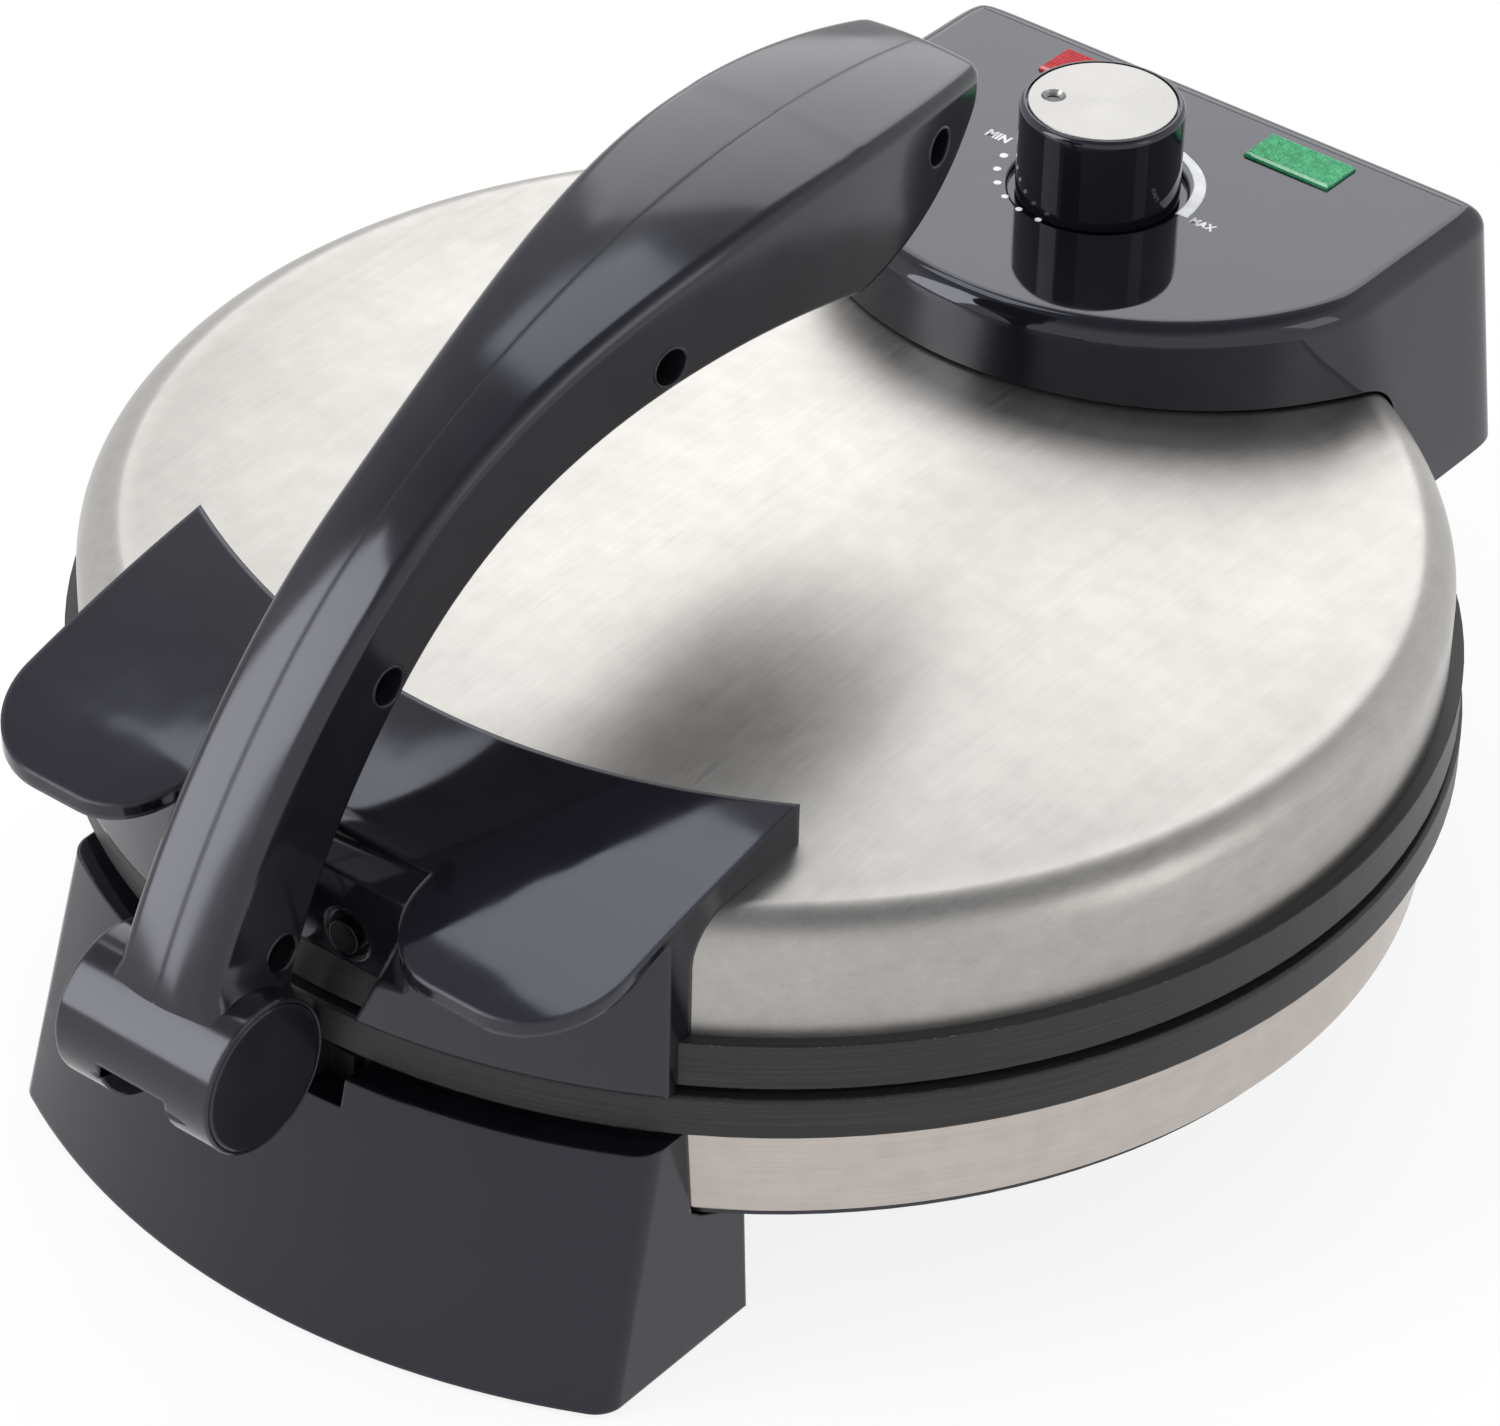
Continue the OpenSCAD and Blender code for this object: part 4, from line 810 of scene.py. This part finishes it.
def foot_corner_tool(side, way):
    """A closed mesh that takes the sharp edge off one upright corner of a foot."""
    past, clear, clear_back = 0.002, 0.004, 0.006
    rings = []
    for z in (-past, foot_top * 0.25, foot_top * 0.5, foot_top * 0.75, foot_top + past):
        share = z / foot_top
        radius = foot_low_radius + (foot_high_radius - foot_low_radius) * share
        half = foot_low_half + (foot_high_half - foot_low_half) * share
        x, run = half - foot_corner, radius - foot_corner
        centre = Vector((x, math.sqrt(run ** 2 - x ** 2)))
        end = math.degrees(math.atan2(centre.y, centre.x))
        edge = arc(centre, foot_corner, 0.0, end, steps=12)
        beyond = Vector(edge[-1]) + heading(end) * clear
        outline = [(half + clear, centre.y)] + edge
        outline += [tuple(beyond), (half + clear, edge[-1][1] + clear_back)]
        rings.append([at(side * x, way * y, z) for x, y in outline])
    return tool(*loft(rings))


def copy_of(name, body, material):
    """A piece with a CAD node's mesh, to be cut further."""
    mesh = nodes[name].data.copy()
    if "custom_normal" in mesh.attributes:
        mesh.attributes.remove(mesh.attributes["custom_normal"])
    mesh.materials.clear()
    mesh.materials.append(material)
    piece = placed(name + "_shape", mesh)
    weld(piece)
    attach(piece, body)
    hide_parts(name)
    return piece


def make_feet():
    for name, way in (("front_foot", -1), ("rear_foot", 1)):
        foot = copy_of(name, "base", black_foot)
        for side in (-1, 1):
            cut_away(foot, foot_corner_tool(side, way))
        finish_shape(foot, sharp=28)


# Control housing: a lofted cover with rounded edges, cut out over the lid. Depths are from the
# plates' axis, and a flare is what a side has gained at the bottom.
housing_half, housing_flare = 0.0688, 0.0066
housing_back, housing_back_flare = 0.1612, 0.0008
housing_front, housing_front_radius = 0.1314, 0.0724
housing_low, housing_top = 0.0740, 0.1303
housing_edge = 0.0050
housing_straight = housing_top - housing_edge
housing_wall = 0.0026
corner_softness = 0.0048
plan_points = 480
lens_spot_x, lens_spot_y = (lens_low.x + lens_high.x) / 2, (lens_low.y + lens_high.y) / 2 - axis_y
window_half_x, window_half_y = 0.0110, 0.0055


def housing_corners(z):
    """The housing's plan at a height, with sharp corners, round from the front middle."""
    share = min(1.0, max(0.0, (z - housing_low) / (housing_top - housing_low)))
    wide = housing_half + housing_flare * (1 - share)
    back = housing_back + housing_back_flare * (1 - share)
    end = math.acos(housing_half / housing_front_radius)
    meet = housing_front - housing_front_radius * math.sin(end) + wide - housing_half
    right = arc((0.0, housing_front), housing_front_radius, -90, -math.degrees(end), steps=48)
    right += [(wide, meet), (wide, back), (0.0, back)]
    return right + [(-x, y) for x, y in right[-2:0:-1]]


def spaced(points, count):
    """A closed line as points at even distances."""
    line = [Vector(p) for p in points] + [Vector(points[0])]
    steps = [(b - a).length for a, b in zip(line, line[1:])]
    total, spots, k, run = sum(steps), [], 0, 0.0
    for i in range(count):
        goal = total * i / count
        while run + steps[k] < goal and k < len(steps) - 1:
            run += steps[k]
            k += 1
        share = 0.0 if steps[k] == 0 else (goal - run) / steps[k]
        spots.append(line[k].lerp(line[k + 1], share))
    return spots, total / count


def softened(points, count, softness):
    """The closed line with its corners rounded by averaging along it."""
    spots, step = spaced(points, count)
    reach = int(3 * softness / step) + 1
    offsets = range(-reach, reach + 1)
    weights = [math.exp(-0.5 * (k * step / softness) ** 2) for k in offsets]
    shares = [(k, w / sum(weights)) for k, w in zip(offsets, weights)]
    return [sum((spots[(i + k) % count] * share for k, share in shares), Vector((0, 0)))
            for i in range(count)]


def drawn_in(line, inset):
    """The closed line moved inwards; it runs with its inside on the left."""
    count = len(line)
    ways = [(line[(i + 1) % count] - line[i - 1]).normalized() for i in range(count)]
    return [p + inset * Vector((-way.y, way.x)) for p, way in zip(line, ways)]


def lid_space(gap):
    """A closed mesh of the space that the closed lid takes, widened by a gap."""
    steps = 24
    rim_radius = (upper_high.x - upper_low.x) / 2 + gap
    outline = [(0.0, upper_low.z - gap), (rim_radius, upper_low.z - gap), (rim_radius, upper_high.z + gap),
               (lid_radius + gap, upper_high.z + gap), (lid_radius + gap, shoulder_z)]
    outline += arc((flat_radius, shoulder_z), shoulder + gap, 0, 90, steps)[1:]
    runs = [flat_radius * t / steps for t in range(steps - 1, -1, -1)]
    outline += [(r, dome_height(r) + gap) for r in runs]
    return tool(*revolve(outline, round_steps, at(0, 0, 0)), welded=True)


def rectangle(x, y, half_x, half_y, z):
    """The corners of a level rectangle, as a ring for a loft."""
    return [at(x + a * half_x, y + b * half_y, z) for a, b in ((-1, -1), (1, -1), (1, 1), (-1, 1))]


def housing_ring(z, inset):
    """The housing's plan at a height, with soft corners, moved inwards by inset."""
    line = drawn_in(softened(housing_corners(z), plan_points, corner_softness), inset)
    return [at(p.x, p.y, z) for p in line]


def housing_rings():
    """Rings up the housing's outside: a small lower edge, the wall and the round upper edge."""
    low_edge, wall_parts = 0.0008, 8
    rings = []
    for a in quarter(30)[::-1]:
        z = housing_low + low_edge * (1 - math.sin(a))
        rings.append(housing_ring(z, low_edge * (1 - math.cos(a))))
    wall = housing_straight - housing_low - low_edge
    for t in range(1, wall_parts + 1):
        rings.append(housing_ring(housing_low + low_edge + wall * t / wall_parts, 0.0))
    for a in quarter(5)[1:]:
        z = housing_straight + housing_edge * math.sin(a)
        rings.append(housing_ring(z, housing_edge * (1 - math.cos(a))))
    return rings


def make_housing():
    lid_gap, shaft_hole, past = 0.0007, 0.0049, 0.01
    cover = new_piece("control_housing_cover", *loft(housing_rings()), "lid", "black_gloss", black)
    heights = (housing_low - 0.002, housing_low + 0.02, housing_straight, housing_top - housing_wall)
    cut_away(cover, tool(*loft([housing_ring(z, housing_wall) for z in heights])))
    cut_away(cover, lid_space(lid_gap))
    cut_away(cover, knob_well())
    shaft_foot = Vector((0, knob_at.y, housing_top - 2 * past))
    cut_away(cover, tool(*rod(shaft_foot, upright, shaft_hole, 3 * past)))
    for side in (-1, 1):
        window = [rectangle(side * lens_spot_x, lens_spot_y, window_half_x, window_half_y, z)
                  for z in (housing_top - past, housing_top + past)]
        cut_away(cover, tool(*loft(window)))
    finish_shape(cover, sharp=32)
    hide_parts("control_housing")


def knob_well():
    """A closed mesh of the round hollow under the knob, with a rounded edge."""
    radius, deep, edge, past = 0.0192, 0.0016, 0.0010, 0.002
    floor = housing_top - deep
    outline = [(0.0, floor), (radius, floor)]
    outline += arc((radius + edge, housing_top - edge), edge, 180, 90, steps=8)
    outline += [(radius + edge, housing_top + past), (0.0, housing_top + past)]
    return tool(*revolve(outline, small_steps, knob_axis), welded=True)


def round_knob(run, degrees, z):
    """A point at a distance from the knob's axis, at an angle round it."""
    a = math.radians(degrees)
    return Vector((run * math.cos(a), knob_at.y + run * math.sin(a), z))


def make_knob():
    """The knob: a turned cup with a rounded top edge and a seat for its disc, bored for the shaft."""
    low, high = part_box("knob")
    seat_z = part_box("knob_disc")[0].z
    shaft_low, shaft_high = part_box("thermostat_shaft")
    slim, play, low_edge, edge = 0.0006, 0.0001, 0.0005, 0.0014
    radius = (high.x - low.x) / 2 - slim
    bore = (shaft_high.x - shaft_low.x) / 2 + play
    seat = radius - edge
    outline = [(bore, low.z)] + arc((radius - low_edge, low.z + low_edge), low_edge, -90, 0, steps=5)
    outline += arc((seat, high.z - edge), edge, 0, 90, steps=12)
    outline += [(seat, seat_z), (bore, seat_z)]
    cup = new_piece("knob_cup", *revolve(outline, knob_steps, knob_axis, closed=True), "knob",
                    "black_gloss", black)
    finish_shape(cup, sharp=40)
    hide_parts("knob")


def make_knob_disc():
    """The knob's steel disc, with a rounded rim and a round dimple as its pointer."""
    low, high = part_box("knob_disc")
    slim, edge, parts = 0.0006, 0.00025, 6
    radius = (high.x - low.x) / 2 - slim
    outline = [(0.0, low.z), (radius, low.z)]
    outline += arc((radius - edge, high.z - edge), edge, 0, 90, steps=4)
    outline += [(radius * t / parts, high.z) for t in range(parts - 1, -1, -1)]
    disc = new_piece("knob_disc_face", *revolve(outline, small_steps, knob_axis), "knob", "spun_disc",
                     disc_metal)
    weld(disc)
    pointer, run, bowl, sink = 208.5, 0.0105, 0.0031, 0.0015
    spot = round_knob(run, pointer, 0)
    ball = arc((0.0, high.z - sink + bowl), bowl, -90, 90, steps=18)
    cut_away(disc, tool(*revolve([(abs(r), z) for r, z in ball], 48, spot), welded=True))
    finish_shape(disc, sharp=35)
    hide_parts("knob_disc")


def make_lens(name, side, material):
    """A bevelled block with a lattice of small pyramids in its top, and the flange under it."""
    low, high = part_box(name)
    play, bevel, cell, rise, flange_top = 0.0002, 0.0005, 0.00096, 0.00030, low.z + 0.0014
    half_x, half_y = window_half_x - play, window_half_y - play
    x0, y0 = side * lens_spot_x, lens_spot_y
    top = high.z - rise
    block = [rectangle(x0, y0, half_x, half_y, z) for z in (flange_top, top - bevel)]
    block.append(rectangle(x0, y0, half_x - bevel, half_y - bevel, top))
    flange = [rectangle(x0, y0, (high.x - low.x) / 2, (high.y - low.y) / 2, z)
              for z in (low.z, flange_top)]
    prisms = lattice(x0, y0, half_x - bevel, half_y - bevel, top, cell, rise)
    shapes = (("_block", loft(block)), ("_prisms", prisms), ("_flange", loft(flange)))
    pieces = [new_piece(name + ending, *shape, "lid", name, material, smooth=False)
              for ending, shape in shapes]
    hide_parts(name)


def lattice(x0, y0, half_x, half_y, z, cell, rise):
    """A closed field of small four-sided pyramids, as verts and faces."""
    nx, ny = round(2 * half_x / cell), round(2 * half_y / cell)

    def spot(i, j, height):
        return at(x0 - half_x + 2 * half_x * i / nx, y0 - half_y + 2 * half_y * j / ny, height)

    verts = [spot(i, j, z) for j in range(ny + 1) for i in range(nx + 1)]
    faces = []
    for j in range(ny):
        for i in range(nx):
            a = j * (nx + 1) + i
            b, c, d = a + 1, a + nx + 2, a + nx + 1
            tip = len(verts)
            verts.append(spot(i + 0.5, j + 0.5, z + rise))
            faces += [(a, b, tip), (b, c, tip), (c, d, tip), (d, a, tip)]
    border = [(i, 0) for i in range(nx)] + [(nx, j) for j in range(ny)]
    border += [(nx - i, ny) for i in range(nx)] + [(0, ny - j) for j in range(ny)]
    faces.append(tuple(j * (nx + 1) + i for i, j in border[::-1]))
    return verts, faces


# Printed marks round the knob. Each dot is (distance from the knob's axis, degrees, radius), each
# row of the wedge (degrees, inner and outer distance in mm), and each word its box in x and in y
# from the knob's axis.
print_low, print_high = housing_top - 0.00002, housing_top + 0.00004
dial_dots = [(0.02276, 188.2, 0.00098), (0.02206, 202.8, 0.00092), (0.02131, 217.4, 0.00088),
             (0.02058, 233.0, 0.00084), (0.01986, 249.1, 0.00080), (0.01928, 265.6, 0.00076)]
wedge_rows = [(170, 21.6, 21.9), (150, 21.7, 22.4), (120, 21.9, 23.3), (90, 21.9, 24.0),
              (77, 21.8, 24.09), (70, 21.69, 23.82), (58, 21.17, 23.64), (42, 20.63, 23.30),
              (27, 19.90, 22.79), (16, 19.49, 22.39), (5, 19.20, 22.22)]
words = [("MIN", (-0.03110, -0.02520), (0.00085, 0.00375)),
         ("MAX", (0.02322, 0.02930), (0.00065, 0.00318))]
letter_weight = 0.045


def make_dial():
    """White marks printed round the knob: six dots, a wedge and two words."""
    for i, (run, degrees, radius) in enumerate(dial_dots):
        dot = rod(round_knob(run, degrees, print_low), upright, radius, print_high - print_low, steps=24)
        new_piece("dial_dot_%d" % i, *dot, "lid", "black_gloss", print_white, sharp=30)
    rows = finer(wedge_rows, 6)
    outline = [(d, r) for d, r, _ in rows] + [(d, r) for d, _, r in rows[::-1]]
    rings = [[round_knob(r / 1000, d, z) for d, r in outline] for z in (print_low, print_high)]
    new_piece("dial_wedge", *loft(rings), "lid", "black_gloss", print_white, sharp=30)
    for word, across, along in words:
        make_word(word, across, along)


def finer(rows, parts):
    """Rows of numbers with more rows between them, on a smooth line through all of them."""
    out = []
    for k in range(len(rows) - 1):
        near = [rows[min(len(rows) - 1, max(0, k + i))] for i in (-1, 0, 1, 2)]
        for t in [i / parts for i in range(parts)]:
            out.append(tuple(0.5 * (2 * q + (r - p) * t + (2 * p - 5 * q + 4 * r - s) * t * t
                                    + (3 * q - p - 3 * r + s) * t ** 3) for p, q, r, s in zip(*near)))
    return out + [rows[-1]]


def make_word(word, across, along):
    """A printed word that fills its box, given in x and in y from the knob's axis."""
    curve = bpy.data.curves.new("word", "FONT")
    curve.body = word
    curve.size = 1.0
    curve.extrude = 0.5
    curve.offset = letter_weight
    obj = placed("word", curve)
    mesh = shown_mesh(obj)
    verts = [v.co.copy() for v in mesh.vertices]
    faces = [tuple(p.vertices) for p in mesh.polygons]
    bpy.data.objects.remove(obj)
    bpy.data.meshes.remove(mesh)
    least = [min(v[i] for v in verts) for i in range(3)]
    most = [max(v[i] for v in verts) for i in range(3)]
    box = (across, tuple(knob_at.y + y for y in along), (print_low, print_high))
    fitted = []
    for v in verts:
        shares = [(v[i] - least[i]) / (most[i] - least[i]) for i in range(3)]
        fitted.append([low + (high - low) * s for s, (low, high) in zip(shares, box)])
    letters = new_piece("dial_" + word.lower(), fitted, faces, "lid", "black_gloss", print_white,
                        smooth=False)
    weld(letters)


# Light and floor. The world lights the object at world_strength. Where it is seen or mirrored it
# is plain white, and darker towards the ceiling, which the lid's top would else mirror as white.
world_strength, ceiling_strength = 0.95, 0.3
light_tint, ceiling_tint = (0.97, 0.98, 1.0), (0.90, 0.94, 1.0)
ceiling_starts, ceiling_full = 0.62, 0.95
lamp_aim = Vector((0, 0, 0.1))
floor_half, floor_color, floor_white = 4.0, (0.86, 0.86, 0.86), 0.86


def area_light(name, place, width, height, energy, color=(1, 1, 1)):
    data = bpy.data.lights.new(name, "AREA")
    data.shape = "RECTANGLE"
    data.size = width
    data.size_y = height
    data.energy = energy
    data.color = color
    lamp = placed(name, data)
    lamp.location = place
    lamp.rotation_euler = (lamp_aim - Vector(place)).to_track_quat("-Z", "Y").to_euler()


def seen_directly(m):
    """1 for rays from the camera and for mirrored and clear rays, else 0."""
    path = add(m, "ShaderNodeLightPath")
    seen = math_node(m, "MAXIMUM", path.outputs["Is Camera Ray"], path.outputs["Is Transmission Ray"])
    return math_node(m, "MAXIMUM", seen, path.outputs["Is Glossy Ray"])


def mix_shader(m, factor, first, second):
    """The first shader where the factor is 0, the second where it is 1."""
    mix = add(m, "ShaderNodeMixShader")
    for i, value in enumerate((factor, first, second)):
        feed(m, value, mix.inputs[i])
    return mix.outputs["Shader"]


def background(m, color, strength):
    return add(m, "ShaderNodeBackground", Color=color, Strength=strength).outputs["Background"]


def make_world():
    world = bpy.data.worlds.new("world")
    bpy.context.scene.world = world
    world.use_nodes = True
    world.node_tree.nodes.clear()
    light = background(world, light_tint, world_strength)
    white = background(world, (1.0, 1.0, 1.0), 1.0)
    ceiling = background(world, ceiling_tint, ceiling_strength)
    coords = add(world, "ShaderNodeTexCoord")
    parts = add(world, "ShaderNodeSeparateXYZ", Vector=coords.outputs["Generated"])
    height = spread(world, parts.outputs["Z"], ceiling_starts, ceiling_full)
    seen = mix_shader(world, height, white, ceiling)
    add(world, "ShaderNodeOutputWorld", Surface=mix_shader(world, seen_directly(world), light, seen))


def make_floor():
    corners = [(floor_half * x, floor_half * y, 0) for x, y in ((-1, -1), (1, -1), (1, 1), (-1, 1))]
    mesh = bpy.data.meshes.new("floor")
    mesh.from_pydata(corners, [], [(0, 1, 2, 3)])
    floor = placed("floor", mesh)
    m = bpy.data.materials.new("floor_mat")
    m.use_nodes = True
    m.node_tree.nodes.clear()
    paper = add(m, "ShaderNodeBsdfDiffuse", Color=floor_color).outputs["BSDF"]
    glow = add(m, "ShaderNodeEmission", Strength=1.0).outputs["Emission"]
    white = mix_shader(m, floor_white, paper, glow)
    add(m, "ShaderNodeOutputMaterial", Surface=mix_shader(m, seen_directly(m), paper, white))
    mesh.materials.append(m)


def make_lights():
    area_light("overhead", (-0.72, 0.28, 1.6), 0.5, 0.5, 1.9, (0.92, 0.96, 1.0))
    area_light("front_left", (-1.15, -1.50, 1.20), 0.9, 2.2, 27.0)
    area_light("back_left", (-0.92, 1.58, 1.32), 1.6, 1.4, 12.2)
    area_light("right", (1.6, 0.3, 0.9), 0.5, 0.9, 2.0, (1.0, 0.98, 0.96))


make_camera()
make_world()
make_floor()
make_lights()
dress_nodes()
make_lid_cover()
make_skirt()
make_feet()
make_housing()
make_knob()
make_knob_disc()
make_lens("red_lens", -1, red)
make_lens("green_lens", 1, green)
make_dial()
make_lever()
